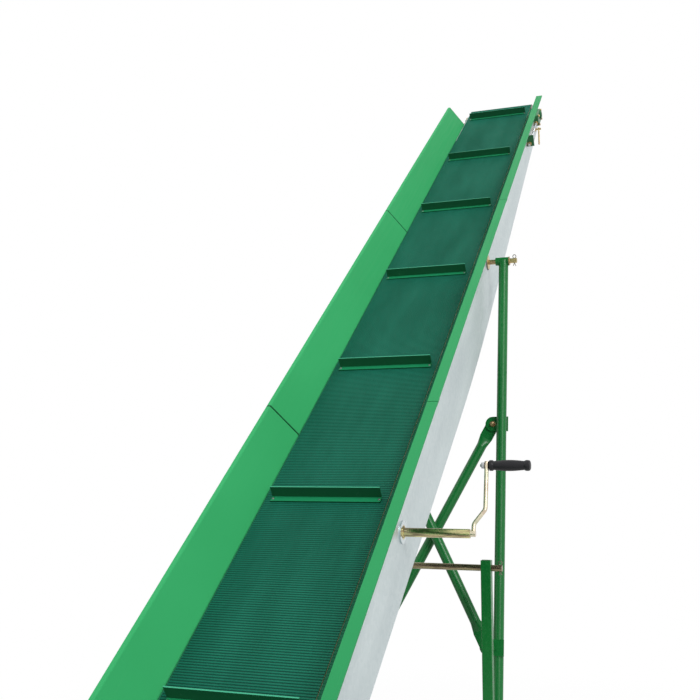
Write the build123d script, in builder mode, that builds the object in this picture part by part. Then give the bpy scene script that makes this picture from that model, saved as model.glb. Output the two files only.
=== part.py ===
from build123d import *
import os
from math import cos, hypot, pi, radians, sin, tan

os.makedirs("parts", exist_ok=True)

# Firewood conveyor on a two-wheeled undercarriage. Millimetres and degrees.
# Origin on the ground midway between the tail stand's feet, +X towards the head,
# +Y to the left, +Z up. Along the belt, s runs up the slope from the tail drum's
# axis and n stands off the line through both drum axes.

# Belt run
incline = 37.0
tail_axis_x = -356.0
tail_axis_z = 394.0
drum_spacing = 5521.0
drum_dia = 133.0
drum_length = 396.0
drum_shell = 5.0
drum_web = 12.0
drum_shaft_dia = 30.0
drum_gap = 0.3
belt_width = 390.0
belt_thick = 5.0
belt_track = 6.0
flight_count = 15
flight_length = 350.0
flight_leg = 40.0
flight_foot = 25.0
flight_thick = 4.0
running_gap = 0.25

# Trough
wall_gap = 408.0
wall_thick = 3.0
wall_lip = 20.0
wall_tail_s = -60.0
wall_head_s = 5571.0
wall_head_drop = 100.0
wall_corner_radius = 25.0
wall_arch_radius = 9000.0
bed_thick = 2.5
bed_flange = 40.0
bed_end_gap = 90.0
tie_dia = 33.7
tie_wall = 3.2
tie_first_s = 600.0
tie_pitch = 1000.0
tie_count = 5
rail_width = 18.0
rail_height = 25.0
rail_thick = 3.0

# Lower edge of the side walls: (s, n)
wall_keel = [(wall_tail_s, -158.0), (2830.0, -262.0), (5250.0, -115.0)]

# Side boards
board_thick = 2.5
board_flange = 35.0
board_rise = 117.0
board_flare = 32.0
board_lip = 13.0
board_bend = 6.0
board_tail_s = 158.0
board_length = 1705.0
board_joint = 3.0
board_count = 3
hood_tail_s = -125.0
# Hand slot in the foot of the right-hand flare, in one board, a way below its head end
slot_board = 2
slot_head_gap = 343.0
slot_length = 190.0
slot_height = 44.0
slot_lift = 8.0

# Take-up at the head drum
block_length = 150.0
block_height = 70.0
block_thick = 30.0
block_drop = 5.0
block_nose = 106.0
block_corner = 8.0
take_up_travel = 80.0
screw_dia = 12.0
screw_drop = 20.0
screw_tail_s = 4985.0
screw_head_s = 5460.0
lug_s = 5011.0
lug_width = 42.0
lug_height = 66.0
lug_thick = 6.0
lug_top = 30.0
clamp_s = 5368.0
clamp_n = -45.0
clamp_boss_dia = 26.0
clamp_boss = 14.0
clamp_screw_dia = 12.0
clamp_reach = 46.0
tommy_dia = 10.0
tommy_length = 100.0
tommy_inset = 14.0

# Tail drive and feed end
bearing_dia = 66.0
bearing_flange = 9.0
bearing_boss_dia = 48.0
bearing_depth = 22.0
gearbox_gap = 3.0
gearbox_size = 112.0
gearbox_depth = 100.0
gearbox_bevel = 14.0
gearbox_cover = 8.0
gearbox_cover_dia = 92.0
motor_flange_thick = 14.0
motor_offset = 52.0
motor_dia = 116.0
motor_length = 215.0
motor_fin = 8.0
motor_fin_thick = 4.0
motor_fin_count = 20
cowl_dia = 134.0
cowl_length = 52.0
cowl_corner = 10.0
cable_box = (70.0, 62.0, 34.0)
switch_s = 625.0
switch_n = -90.0
switch_size = (130.0, 150.0, 88.0)
switch_corner = 12.0
inlet_dia = 56.0
inlet_lid_dia = 64.0
inlet_lid = 6.0
inlet_length = 62.0
inlet_collar_dia = 68.0
inlet_collar = 10.0

# Tail stand
leg_size = 50.0
leg_wall = 3.0
leg_top_z = 640.0
foot_length = 150.0
foot_width = 110.0
foot_thick = 8.0
foot_hole_dia = 14.0
foot_hole_spacing = 110.0
stand_bar_z = 150.0
tow_plate_thick = 12.0
tow_plate_width = 80.0
tow_eye_dia = 26.0
tow_eye_reach = 110.0

# Undercarriage
hinge_s = 3346.0
hinge_n = -21.5
hinge_pin_dia = 22.0
hinge_flange_dia = 64.0
hinge_flange = 6.0
hinge_pin_end_y = 341.0
post_y = 281.0
post_dia = 42.4
post_wall = 3.2
post_lean = 10.5
collar_dia = 36.0
collar_length = 59.0
collar_near_y = 246.0
strut_inset = 37.0
strut_size = 40.0
strut_wall = 3.0
strut_lean = 0.4
strut_foot_gap = 44.0
rest_shaft_z = 1070.0
rest_shaft_dia = 25.0
rest_shaft_overhang = 42.0
strut_above_shaft = 30.0
brace_dia = 42.4
brace_upper = 750.0
brace_lower = 1674.0
brace_inset = 41.0
brace_flat_width = 56.0
brace_flat_thick = 7.0
brace_flat_end = 22.0
brace_flat_run = 68.0
brace_taper = 40.0
brace_hole_dia = 12.5
brace_lug_height = 64.0
brace_lug_thick = 6.0
brace_lug_offset = 16.5
brace_lug_overhang = 4.0

# Axle and wheels
wheel_radius = 240.0
tyre_width = 145.0
tyre_wall = 11.0
tyre_shoulder = 9.0
tyre_crown = 14.0
rim_radius = 127.0
rim_width = 112.0
rim_thick = 5.0
rim_flange = 13.0
rim_dish = 18.0
rim_shelf = 92.0
rim_hole_dia = 30.0
rim_hole_count = 6
wheel_gap = 34.0
hub_dia = 66.0
hub_length = 110.0
stub_dia = 30.0
stub_overhang = 7.0
beam_length = 600.0
beam_width = 110.0
beam_height = 60.0
beam_wall = 4.0
beam_cap = 8.0
beam_corner = 8.0

# Winch crank
winch_s = 1528.0
winch_n = -57.0
winch_flange = (66.0, 70.0, 5.0)
sleeve_dia = 26.9
sleeve_end_y = 414.0
crank_shaft_dia = 18.0
crank_shaft_inset = 9.0
crank_arm_gap = 3.0
crank_bar_dia = 13.0
crank_throw = 204.0
crank_jog = 33.0
crank_jog_from = 28.0
crank_jog_to = 72.0
crank_bend = 20.0
crank_overrun = 12.0
crank_lean = 14.0
grip_length = 122.0
grip_washer = 2.0
grip_bolt_dia = 10.0
grip_end_dia = 32.0
grip_neck_dia = 27.0
grip_crown_dia = 33.0
grip_flange = 12.0

# Places worked out from the sizes above
slope = radians(incline)
drum_radius = drum_dia / 2
belt_top = drum_radius + belt_thick
half_gap = wall_gap / 2
wall_face = half_gap + wall_thick
wall_top = drum_radius
board_foot = belt_top - board_flange
board_top = belt_top + board_rise
board_fold_y = wall_face + board_rise * tan(radians(board_flare))
board_lip_y = board_fold_y + board_lip
wheel_y = beam_length / 2 + wheel_gap + rim_width / 2
stub_end_y = wheel_y + hub_length / 2 + stub_overhang
strut_y = beam_length / 2 - strut_inset
rest_shaft_end_y = strut_y + strut_size / 2 + rest_shaft_overhang
sides = [("left", 1), ("right", -1)]
to_right = (0, -1, 0)
up_slope = (cos(slope), 0, sin(slope))


def at_slope(s, n, y=0.0):
    """Point at s up the slope, n off the drum line and y to the left."""
    x = tail_axis_x + s * cos(slope) - n * sin(slope)
    z = tail_axis_z + s * sin(slope) + n * cos(slope)
    return (x, y, z)


def side_plane(y, s=0.0, n=0.0):
    """Side view plane at y: x up the slope, y off the belt, facing the right-hand side."""
    return Plane(origin=at_slope(s, n, y), x_dir=(cos(slope), 0, sin(slope)), z_dir=(0, -1, 0))


def section_plane(s):
    """Plane across the slope at s: x to the left, y off the belt, facing up the slope."""
    return Plane(origin=at_slope(s, 0), x_dir=(0, 1, 0), z_dir=(cos(slope), 0, sin(slope)))


def level_plane(y, x, z):
    """Level side view plane at y: x towards the head, y up, facing the right-hand side."""
    return Plane(origin=(x, y, z), x_dir=(1, 0, 0), z_dir=(0, -1, 0))


def outer_y(sign, near, depth):
    """Start of an extrusion towards the right for a piece from near to near + depth."""
    return near + depth if sign > 0 else -near


def save(piece, name):
    piece.part.label = name
    export_step(piece.part, f"parts/{name}.step")


def wall_outline(plane, lift=0.0):
    """Sketch of one side wall's outline, lifted off the belt line by lift."""
    outline = [(s, n + lift) for s, n in wall_keel]
    outline += [
        (wall_head_s, lift - wall_head_drop),
        (wall_head_s, lift + wall_top - wall_corner_radius),
        (wall_head_s - wall_corner_radius, lift + wall_top),
        (wall_tail_s, lift + wall_top),
    ]
    with BuildSketch(plane) as face:
        with BuildLine():
            Polyline(*outline, close=True)
        make_face()
        keel = face.vertices().sort_by(Axis.Y)[0]
        fillet(keel, wall_arch_radius)
    return face.sketch


# Side walls: galvanised sheet, deepest over the undercarriage, with a lip folded in below
for name, sign in sides:
    with BuildPart() as wall:
        blank_plane = side_plane(outer_y(sign, half_gap - wall_lip, wall_lip + wall_thick))
        extrude(wall_outline(blank_plane), amount=wall_lip + wall_thick, dir=to_right)
        lip_plane = side_plane(outer_y(sign, half_gap - wall_lip, wall_lip))
        extrude(wall_outline(lip_plane, wall_thick), amount=wall_lip, dir=to_right, mode=Mode.SUBTRACT)
        with BuildSketch(side_plane(outer_y(sign, half_gap, wall_thick))) as openings:
            Circle(drum_shaft_dia / 2 + 1)
            with Locations((drum_spacing, 0)):
                SlotOverall(drum_shaft_dia + 2 + take_up_travel, drum_shaft_dia + 2)
            if sign < 0:
                with Locations((winch_s, winch_n)):
                    Circle(sleeve_dia / 2)
        extrude(amount=wall_thick, mode=Mode.SUBTRACT)
    save(wall, f"wall_{name}")

# Slide bed: folded sheet under the carrying strand
with BuildPart() as slide_bed:
    with BuildSketch(section_plane(bed_end_gap)) as bed_profile:
        with Locations((0, drum_radius - bed_flange / 2)):
            Rectangle(wall_gap, bed_flange)
        with Locations((0, drum_radius - bed_thick - bed_flange / 2)):
            Rectangle(wall_gap - 2 * bed_thick, bed_flange, mode=Mode.SUBTRACT)
    extrude(amount=drum_spacing - 2 * bed_end_gap)
save(slide_bed, "slide_bed")

# Cross ties: tubes between the walls, inside the belt loop
with BuildPart() as cross_ties:
    for index in range(tie_count):
        with BuildSketch(side_plane(half_gap, tie_first_s + index * tie_pitch)) as tie:
            Circle(tie_dia / 2)
            Circle(tie_dia / 2 - tie_wall, mode=Mode.SUBTRACT)
        extrude(amount=wall_gap)
save(cross_ties, "cross_ties")

# Return rails: angles that carry the belt's edges on the way back
with BuildPart() as return_rails:
    for name, sign in sides:
        with BuildSketch(section_plane(bed_end_gap)) as rail:
            with Locations((sign * (half_gap - rail_width / 2), -belt_top - rail_thick / 2)):
                Rectangle(rail_width, rail_thick)
            with Locations((sign * (half_gap - rail_thick / 2), -belt_top - rail_height / 2)):
                Rectangle(rail_thick, rail_height)
        extrude(amount=drum_spacing - 2 * bed_end_gap)
save(return_rails, "return_rails")

# Belt: one closed loop round both drums
with BuildPart() as belt:
    with BuildSketch(side_plane(belt_width / 2 + belt_track)) as loop:
        with Locations((drum_spacing / 2, 0)):
            SlotCenterToCenter(drum_spacing, 2 * belt_top)
            SlotCenterToCenter(drum_spacing, drum_dia, mode=Mode.SUBTRACT)
    extrude(amount=belt_width)
save(belt, "belt")

# Flights: steel angles across the belt, evenly spaced round the loop from the tail drum
half_turn = pi * (drum_radius + belt_thick / 2)
flight_pitch = 2 * (drum_spacing + half_turn) / flight_count
with BuildPart() as flights:
    for index in range(flight_count):
        travel = index * flight_pitch
        carrying = travel <= drum_spacing
        way = 1 if carrying else -1
        station = travel if carrying else 2 * drum_spacing + half_turn - travel
        flight_plane = Plane(
            origin=at_slope(station, way * belt_top, flight_length / 2 + belt_track),
            x_dir=(way * cos(slope), 0, way * sin(slope)),
            z_dir=(0, -1, 0),
        )
        with BuildSketch(flight_plane) as angle:
            with Locations((-flight_foot / 2, flight_thick / 2)):
                Rectangle(flight_foot, flight_thick)
            with Locations((-flight_thick / 2, flight_leg / 2)):
                Rectangle(flight_thick, flight_leg)
        extrude(amount=flight_length)
save(flights, "flights")

# Drums with their shafts; the tail shaft reaches into the gearbox on the left
gearbox_near = wall_face + bearing_depth + gearbox_gap
head_shaft_end = wall_face + block_thick + 6
tail_shaft_right = wall_face + bearing_depth + 6
tail_shaft_left = gearbox_near + gearbox_depth + gearbox_cover + 4
# Name, s, left shaft end, right shaft end
drums = [
    ("tail_drum", 0.0, tail_shaft_left, tail_shaft_right),
    ("head_drum", drum_spacing, head_shaft_end, head_shaft_end),
]
for name, station, left_end, right_end in drums:
    with BuildPart() as drum:
        with BuildSketch(side_plane(drum_length / 2, station)) as shell:
            Circle(drum_radius - drum_gap)
            Circle(drum_radius - drum_gap - drum_shell, mode=Mode.SUBTRACT)
        extrude(amount=drum_length)
        with BuildSketch(side_plane(drum_web / 2, station)) as web:
            Circle(drum_radius - drum_shell)
        extrude(amount=drum_web)
        with BuildSketch(side_plane(left_end, station)) as shaft:
            Circle(drum_shaft_dia / 2)
        extrude(amount=left_end + right_end)
    save(drum, name)


def board_profile(sign, s):
    """Sheet section of a side board: flange on the wall, flared face and folded lip."""
    path = [
        (sign * wall_face, board_foot),
        (sign * wall_face, belt_top),
        (sign * board_fold_y, board_top),
        (sign * board_lip_y, board_top),
    ]
    with BuildSketch(section_plane(s)) as profile:
        with BuildLine():
            FilletPolyline(*path, radius=board_bend)
            offset(amount=board_thick, side=Side.RIGHT if sign > 0 else Side.LEFT)
        make_face()
    return profile.sketch


def flare_plane(sign, s):
    """Plane in the flared face of a board at s: x up the slope, y up the flare."""
    flare = radians(board_flare)
    rise = Vector(-sin(slope) * cos(flare), sign * sin(flare), cos(slope) * cos(flare))
    run = Vector(*up_slope)
    return Plane(origin=at_slope(s, belt_top, sign * wall_face), x_dir=run, z_dir=run.cross(rise))


# Side boards: flared sheets, three to a side, butted end to end
for name, sign in sides:
    for index in range(board_count):
        start = board_tail_s + index * board_length
        with BuildPart() as board:
            extrude(board_profile(sign, start), amount=board_length - board_joint, dir=up_slope)
            if sign < 0 and index + 1 == slot_board:
                slot_s = start + board_length - slot_head_gap
                with BuildSketch(flare_plane(sign, slot_s)) as hand_slot:
                    with Locations((0, slot_lift + slot_height / 2)):
                        SlotOverall(slot_length, slot_height)
                extrude(amount=2 * board_thick, both=True, mode=Mode.SUBTRACT)
        save(board, f"board_{name}_{index + 1}")

# Feed hood: the boards' section carried round the tail end, closed by a back panel
with BuildPart() as feed_hood:
    cheek_length = board_tail_s - board_joint - hood_tail_s
    for name, sign in sides:
        extrude(board_profile(sign, hood_tail_s), amount=cheek_length, dir=up_slope)
    with BuildSketch(section_plane(hood_tail_s)) as back:
        with BuildLine():
            Polyline(
                (-wall_face, board_foot),
                (-wall_face, belt_top),
                (-board_fold_y, board_top),
                (board_fold_y, board_top),
                (wall_face, belt_top),
                (wall_face, board_foot),
                close=True,
            )
        make_face()
    extrude(amount=board_thick)
save(feed_hood, "feed_hood")

# Take-up at the head: bearing blocks, tension screws, abutment lugs and clamp screws
with BuildPart() as bearing_blocks:
    for name, sign in sides:
        with BuildSketch(side_plane(outer_y(sign, wall_face, block_thick), drum_spacing)) as block:
            with Locations((block_length / 2 - block_nose, -block_drop)):
                RectangleRounded(block_length, block_height, block_corner)
            Circle(drum_shaft_dia / 2 + running_gap, mode=Mode.SUBTRACT)
        extrude(amount=block_thick)
        with BuildSketch(section_plane(drum_spacing - block_nose)) as screw_hole:
            with Locations((sign * (wall_face + block_thick / 2), -screw_drop)):
                Circle(screw_dia / 2 + running_gap)
        extrude(amount=screw_head_s - drum_spacing + block_nose, mode=Mode.SUBTRACT)
save(bearing_blocks, "bearing_blocks")

with BuildPart() as take_up_lugs:
    for name, sign in sides:
        with BuildSketch(section_plane(lug_s)) as lug:
            with Locations((sign * (wall_face + lug_width / 2), lug_top - lug_height / 2)):
                Rectangle(lug_width, lug_height)
            with Locations((sign * (wall_face + block_thick / 2), -screw_drop)):
                Circle(screw_dia / 2 + running_gap, mode=Mode.SUBTRACT)
        extrude(amount=lug_thick)
save(take_up_lugs, "take_up_lugs")

with BuildPart() as tension_screws:
    for name, sign in sides:
        with BuildSketch(section_plane(screw_tail_s)) as screw:
            with Locations((sign * (wall_face + block_thick / 2), -screw_drop)):
                Circle(screw_dia / 2)
        extrude(amount=screw_head_s - screw_tail_s)
save(tension_screws, "tension_screws")

with BuildPart() as clamp_screws:
    for name, sign in sides:
        clamp_plane = side_plane(outer_y(sign, wall_face, clamp_boss), clamp_s, clamp_n)
        with BuildSketch(clamp_plane) as boss:
            Circle(clamp_boss_dia / 2)
        extrude(amount=clamp_boss)
        with BuildSketch(side_plane(outer_y(sign, wall_face, clamp_reach), clamp_s, clamp_n)) as screw:
            Circle(clamp_screw_dia / 2)
        extrude(amount=clamp_reach)
        bar_x, bar_y, bar_z = at_slope(clamp_s, clamp_n, sign * (wall_face + clamp_reach - tommy_inset))
        with BuildSketch(Plane.XY.offset(bar_z - tommy_length)) as bar:
            with Locations((bar_x, bar_y)):
                Circle(tommy_dia / 2)
        extrude(amount=tommy_length + tommy_dia)
save(clamp_screws, "clamp_screws")

# Tail drive: flange bearings, worm gearbox on the shaft's left end, motor hanging from it
with BuildPart() as tail_bearings:
    for name, sign in sides:
        for diameter, depth in ((bearing_dia, bearing_flange), (bearing_boss_dia, bearing_depth)):
            with BuildSketch(side_plane(outer_y(sign, wall_face, depth))) as ring:
                Circle(diameter / 2)
                Circle(drum_shaft_dia / 2 + running_gap, mode=Mode.SUBTRACT)
            extrude(amount=depth)
save(tail_bearings, "tail_bearings")

motor_y = gearbox_near + gearbox_depth / 2
motor_down = (sin(slope), 0, -cos(slope))
motor_flange_plane = Plane(
    origin=at_slope(motor_offset - gearbox_size / 4, -gearbox_size / 2, motor_y),
    x_dir=(0, 1, 0),
    z_dir=motor_down,
)
with BuildPart() as gearbox:
    with BuildSketch(side_plane(gearbox_near + gearbox_depth)) as housing:
        Rectangle(gearbox_size, gearbox_size)
        chamfer(housing.vertices(), gearbox_bevel)
        Circle(drum_shaft_dia / 2 + running_gap, mode=Mode.SUBTRACT)
    extrude(amount=gearbox_depth)
    with BuildSketch(side_plane(gearbox_near + gearbox_depth + gearbox_cover)) as cover:
        Circle(gearbox_cover_dia / 2)
        Circle(drum_shaft_dia / 2 + running_gap, mode=Mode.SUBTRACT)
    extrude(amount=gearbox_cover)
    with BuildSketch(motor_flange_plane) as motor_flange:
        Circle(gearbox_cover_dia / 2)
    extrude(amount=motor_flange_thick)
save(gearbox, "gearbox")

motor_plane = motor_flange_plane.offset(motor_flange_thick)
with BuildPart() as motor:
    with BuildSketch(motor_plane) as frame_ring:
        Circle(motor_dia / 2)
        with PolarLocations(motor_dia / 2, motor_fin_count):
            Rectangle(2 * motor_fin, motor_fin_thick)
    extrude(amount=motor_length)
    with BuildSketch(motor_plane.offset(motor_length)) as cowl:
        Circle(cowl_dia / 2)
    extrude(amount=cowl_length)
    fillet(motor.faces().sort_by(Axis(motor_plane.origin, motor_plane.z_dir))[-1].edges(), cowl_corner)
    box_length, box_width, box_height = cable_box
    with BuildSketch(motor_plane.offset(motor_length / 2 - box_length / 2)) as box:
        with Locations((motor_dia / 2 + box_height / 2, 0)):
            Rectangle(box_height + motor_fin, box_width)
    extrude(amount=box_length)
save(motor, "motor")

# Motor switch with its plug inlet, on the left wall
switch_length, switch_height, switch_depth = switch_size
with BuildPart() as switch_box:
    with BuildSketch(side_plane(wall_face + switch_depth, switch_s, switch_n)) as case:
        RectangleRounded(switch_length, switch_height, switch_corner)
    extrude(amount=switch_depth)
save(switch_box, "switch_box")

inlet_plane = Plane(
    origin=at_slope(switch_s, switch_n - switch_height / 2, wall_face + switch_depth / 2),
    x_dir=(0, 1, 0),
    z_dir=motor_down,
)
with BuildPart() as plug_inlet:
    with BuildSketch(inlet_plane) as nose:
        Circle(inlet_dia / 2)
    extrude(amount=inlet_length)
    with BuildSketch(inlet_plane) as collar:
        Circle(inlet_collar_dia / 2)
    extrude(amount=inlet_collar)
    with BuildSketch(inlet_plane.offset(inlet_length)) as lid:
        Circle(inlet_lid_dia / 2)
    extrude(amount=inlet_lid)
save(plug_inlet, "plug_inlet")

# Tail stand: two tube legs on the walls with drilled foot plates, a cross bar and a tow plate
leg_y = wall_face + leg_size / 2
with BuildPart() as stand_legs:
    for name, sign in sides:
        with BuildSketch(Plane.XY) as foot:
            with Locations((0, sign * leg_y)):
                Rectangle(foot_length, foot_width)
            with Locations((foot_hole_spacing / 2, sign * leg_y), (-foot_hole_spacing / 2, sign * leg_y)):
                Circle(foot_hole_dia / 2, mode=Mode.SUBTRACT)
        extrude(amount=foot_thick)
        with BuildSketch(Plane.XY.offset(foot_thick)) as leg:
            with Locations((0, sign * leg_y)):
                Rectangle(leg_size, leg_size)
                Rectangle(leg_size - 2 * leg_wall, leg_size - 2 * leg_wall, mode=Mode.SUBTRACT)
        extrude(amount=leg_top_z - leg_wall - foot_thick)
        with BuildSketch(Plane.XY.offset(leg_top_z - leg_wall)) as cap:
            with Locations((0, sign * leg_y)):
                Rectangle(leg_size, leg_size)
        extrude(amount=leg_wall)
save(stand_legs, "stand_legs")

with BuildPart() as stand_bar:
    with BuildSketch(level_plane(wall_face, 0, stand_bar_z)) as bar:
        Rectangle(leg_size, leg_size)
    extrude(amount=2 * wall_face)
    with BuildSketch(Plane.XY.offset(stand_bar_z - tow_plate_thick / 2)) as tow_plate:
        with Locations((-tow_eye_reach / 2, 0)):
            Rectangle(tow_eye_reach, tow_plate_width)
        with Locations((-tow_eye_reach, 0)):
            Circle(tow_plate_width / 2)
            Circle(tow_eye_dia / 2, mode=Mode.SUBTRACT)
    extrude(amount=tow_plate_thick)
save(stand_bar, "stand_bar")

# Undercarriage hinge: pins on flanges on the walls
with BuildPart() as hinge_pins:
    for name, sign in sides:
        with BuildSketch(side_plane(outer_y(sign, wall_face, hinge_flange), hinge_s, hinge_n)) as flange:
            Circle(hinge_flange_dia / 2)
        extrude(amount=hinge_flange)
        pin_length = hinge_pin_end_y - wall_face
        with BuildSketch(side_plane(outer_y(sign, wall_face, pin_length), hinge_s, hinge_n)) as pin:
            Circle(hinge_pin_dia / 2)
        extrude(amount=pin_length)
save(hinge_pins, "hinge_pins")

# Frame of the undercarriage: x to the left, y down along the posts, z towards the tail
lean = radians(post_lean)
hinge_x, hinge_y, hinge_z = at_slope(hinge_s, hinge_n)
frame_plane = Plane(origin=(hinge_x, 0, hinge_z), x_dir=(0, 1, 0), z_dir=(-cos(lean), 0, sin(lean)))
beam_top_z = wheel_radius + beam_height / 2
post_length = (hinge_z - beam_top_z) / cos(lean)
post_foot_x = hinge_x - (hinge_z - beam_top_z) * tan(lean)
axle_x = post_foot_x - strut_foot_gap / 2
strut_foot_x = post_foot_x - strut_foot_gap
brace_z = brace_lug_offset + brace_lug_thick + brace_flat_thick / 2


def post_axis_plane(y):
    """Plane across a post at the hinge, facing down along the post."""
    return Plane(origin=(hinge_x, y, hinge_z), x_dir=(0, 1, 0), z_dir=(-sin(lean), 0, -cos(lean)))


# Brace lugs on the posts: side, sign of Y, distance down the post, face (1 tail, -1 head)
brace_lugs = [
    ("left", 1, brace_upper, 1),
    ("left", 1, brace_lower, -1),
    ("right", -1, brace_upper, -1),
    ("right", -1, brace_lower, 1),
]
for name, sign in sides:
    with BuildPart() as post:
        with BuildSketch(post_axis_plane(sign * post_y)) as tube:
            Circle(post_dia / 2)
        extrude(amount=post_length + post_dia)
        with BuildSketch(post_axis_plane(sign * post_y).offset(post_dia)) as bore:
            Circle(post_dia / 2 - post_wall)
        extrude(amount=post_length + post_dia, mode=Mode.SUBTRACT)
        for lug_side, lug_sign, down, face in brace_lugs:
            if lug_side == name:
                lug_start = face * brace_lug_offset if face > 0 else -brace_lug_offset - brace_lug_thick
                bolt_y = post_y - brace_inset
                lug_root = post_y + post_dia / 2 + brace_lug_overhang
                with BuildSketch(frame_plane.offset(lug_start)) as lug:
                    with Locations((sign * (bolt_y + lug_root) / 2, down)):
                        Rectangle(lug_root - bolt_y, brace_lug_height)
                    with Locations((sign * bolt_y, down)):
                        Circle(brace_lug_height / 2)
                        Circle(brace_hole_dia / 2, mode=Mode.SUBTRACT)
                extrude(amount=brace_lug_thick)
        collar_y = outer_y(sign, collar_near_y, collar_length)
        with BuildSketch(level_plane(collar_y, hinge_x, hinge_z)) as collar:
            Circle(collar_dia / 2)
        extrude(amount=collar_length)
        with BuildSketch(level_plane(collar_y, hinge_x, hinge_z)) as pin_bore:
            Circle(hinge_pin_dia / 2 + running_gap)
        extrude(amount=collar_length, mode=Mode.SUBTRACT)
        split(bisect_by=Plane.XY.offset(beam_top_z), keep=Keep.TOP)
    save(post, f"post_{name}")

# Cross braces: tubes with flattened, drilled ends, crossing without touching
brace_run = hypot(2 * (post_y - brace_inset), brace_lower - brace_upper)
# Name, sign of Y of the upper end, face
braces = [("brace_front", 1, 1), ("brace_rear", -1, -1)]
for name, upper_sign, face in braces:
    middle = frame_plane.from_local_coords(Vector(0, (brace_upper + brace_lower) / 2, face * brace_z))
    across = frame_plane.x_dir * (-upper_sign * 2 * (post_y - brace_inset))
    along = (across + frame_plane.y_dir * (brace_lower - brace_upper)).normalized()
    flat_plane = Plane(origin=middle, x_dir=along, z_dir=frame_plane.z_dir)
    half_tube = brace_run / 2 - brace_flat_run - brace_taper
    with BuildPart() as brace:
        for end in (1, -1):
            tube_plane = Plane(origin=middle, x_dir=flat_plane.y_dir, z_dir=along * end)
            with BuildSketch(tube_plane) as half:
                Circle(brace_dia / 2)
            extrude(amount=half_tube)
            with BuildSketch(tube_plane.offset(half_tube)) as round_end:
                Circle(brace_dia / 2)
            with BuildSketch(tube_plane.offset(half_tube + brace_taper)) as flat_end:
                SlotOverall(brace_flat_width, brace_flat_thick)
            loft()
            with BuildSketch(flat_plane.offset(-brace_flat_thick / 2)) as tongue:
                with Locations((end * (brace_run / 2 + (brace_flat_end - brace_flat_run) / 2), 0)):
                    Rectangle(brace_flat_run + brace_flat_end, brace_flat_width)
                with Locations((end * brace_run / 2, 0)):
                    Circle(brace_hole_dia / 2, mode=Mode.SUBTRACT)
            extrude(amount=brace_flat_thick)
    save(brace, name)

# Struts: square tubes standing on the axle beam, with the rest shaft through their heads
strut_tilt = radians(strut_lean)
strut_dir = Vector(sin(strut_tilt), 0, cos(strut_tilt))
shaft_x = strut_foot_x + (rest_shaft_z - beam_top_z) * tan(strut_tilt)
strut_length = (rest_shaft_z - beam_top_z) / cos(strut_tilt) + strut_above_shaft
for name, sign in sides:
    strut_plane = Plane(
        origin=(strut_foot_x, sign * strut_y, beam_top_z), x_dir=(0, 1, 0), z_dir=strut_dir
    )
    with BuildPart() as strut:
        with BuildSketch(strut_plane.offset(-strut_size)) as tube:
            RectangleRounded(strut_size, strut_size, 3)
        extrude(amount=strut_length + strut_size)
        with BuildSketch(strut_plane.offset(-strut_size)) as hollow:
            Rectangle(strut_size - 2 * strut_wall, strut_size - 2 * strut_wall)
        extrude(amount=strut_length + strut_size, mode=Mode.SUBTRACT)
        with BuildSketch(level_plane(sign * strut_y + strut_size, shaft_x, rest_shaft_z)) as shaft_hole:
            Circle(rest_shaft_dia / 2 + running_gap)
        extrude(amount=2 * strut_size, mode=Mode.SUBTRACT)
        split(bisect_by=Plane.XY.offset(beam_top_z), keep=Keep.TOP)
    save(strut, f"strut_{name}")

with BuildPart() as rest_shaft:
    with BuildSketch(level_plane(rest_shaft_end_y, shaft_x, rest_shaft_z)) as bar:
        Circle(rest_shaft_dia / 2)
    extrude(amount=2 * rest_shaft_end_y)
save(rest_shaft, "rest_shaft")

# Axle: box beam with end caps and stub axles
with BuildPart() as axle:
    with BuildSketch(level_plane(beam_length / 2, axle_x, wheel_radius)) as beam:
        RectangleRounded(beam_width, beam_height, beam_corner)
        Rectangle(beam_width - 2 * beam_wall, beam_height - 2 * beam_wall, mode=Mode.SUBTRACT)
    extrude(amount=beam_length)
    for name, sign in sides:
        cap_y = outer_y(sign, beam_length / 2 - beam_cap, beam_cap)
        with BuildSketch(level_plane(cap_y, axle_x, wheel_radius)) as cap:
            RectangleRounded(beam_width, beam_height, beam_corner)
        extrude(amount=beam_cap)
        stub_length = stub_end_y - beam_length / 2
        stub_y = outer_y(sign, beam_length / 2, stub_length)
        with BuildSketch(level_plane(stub_y, axle_x, wheel_radius)) as stub:
            Circle(stub_dia / 2)
        extrude(amount=stub_length)
save(axle, "axle")

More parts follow.
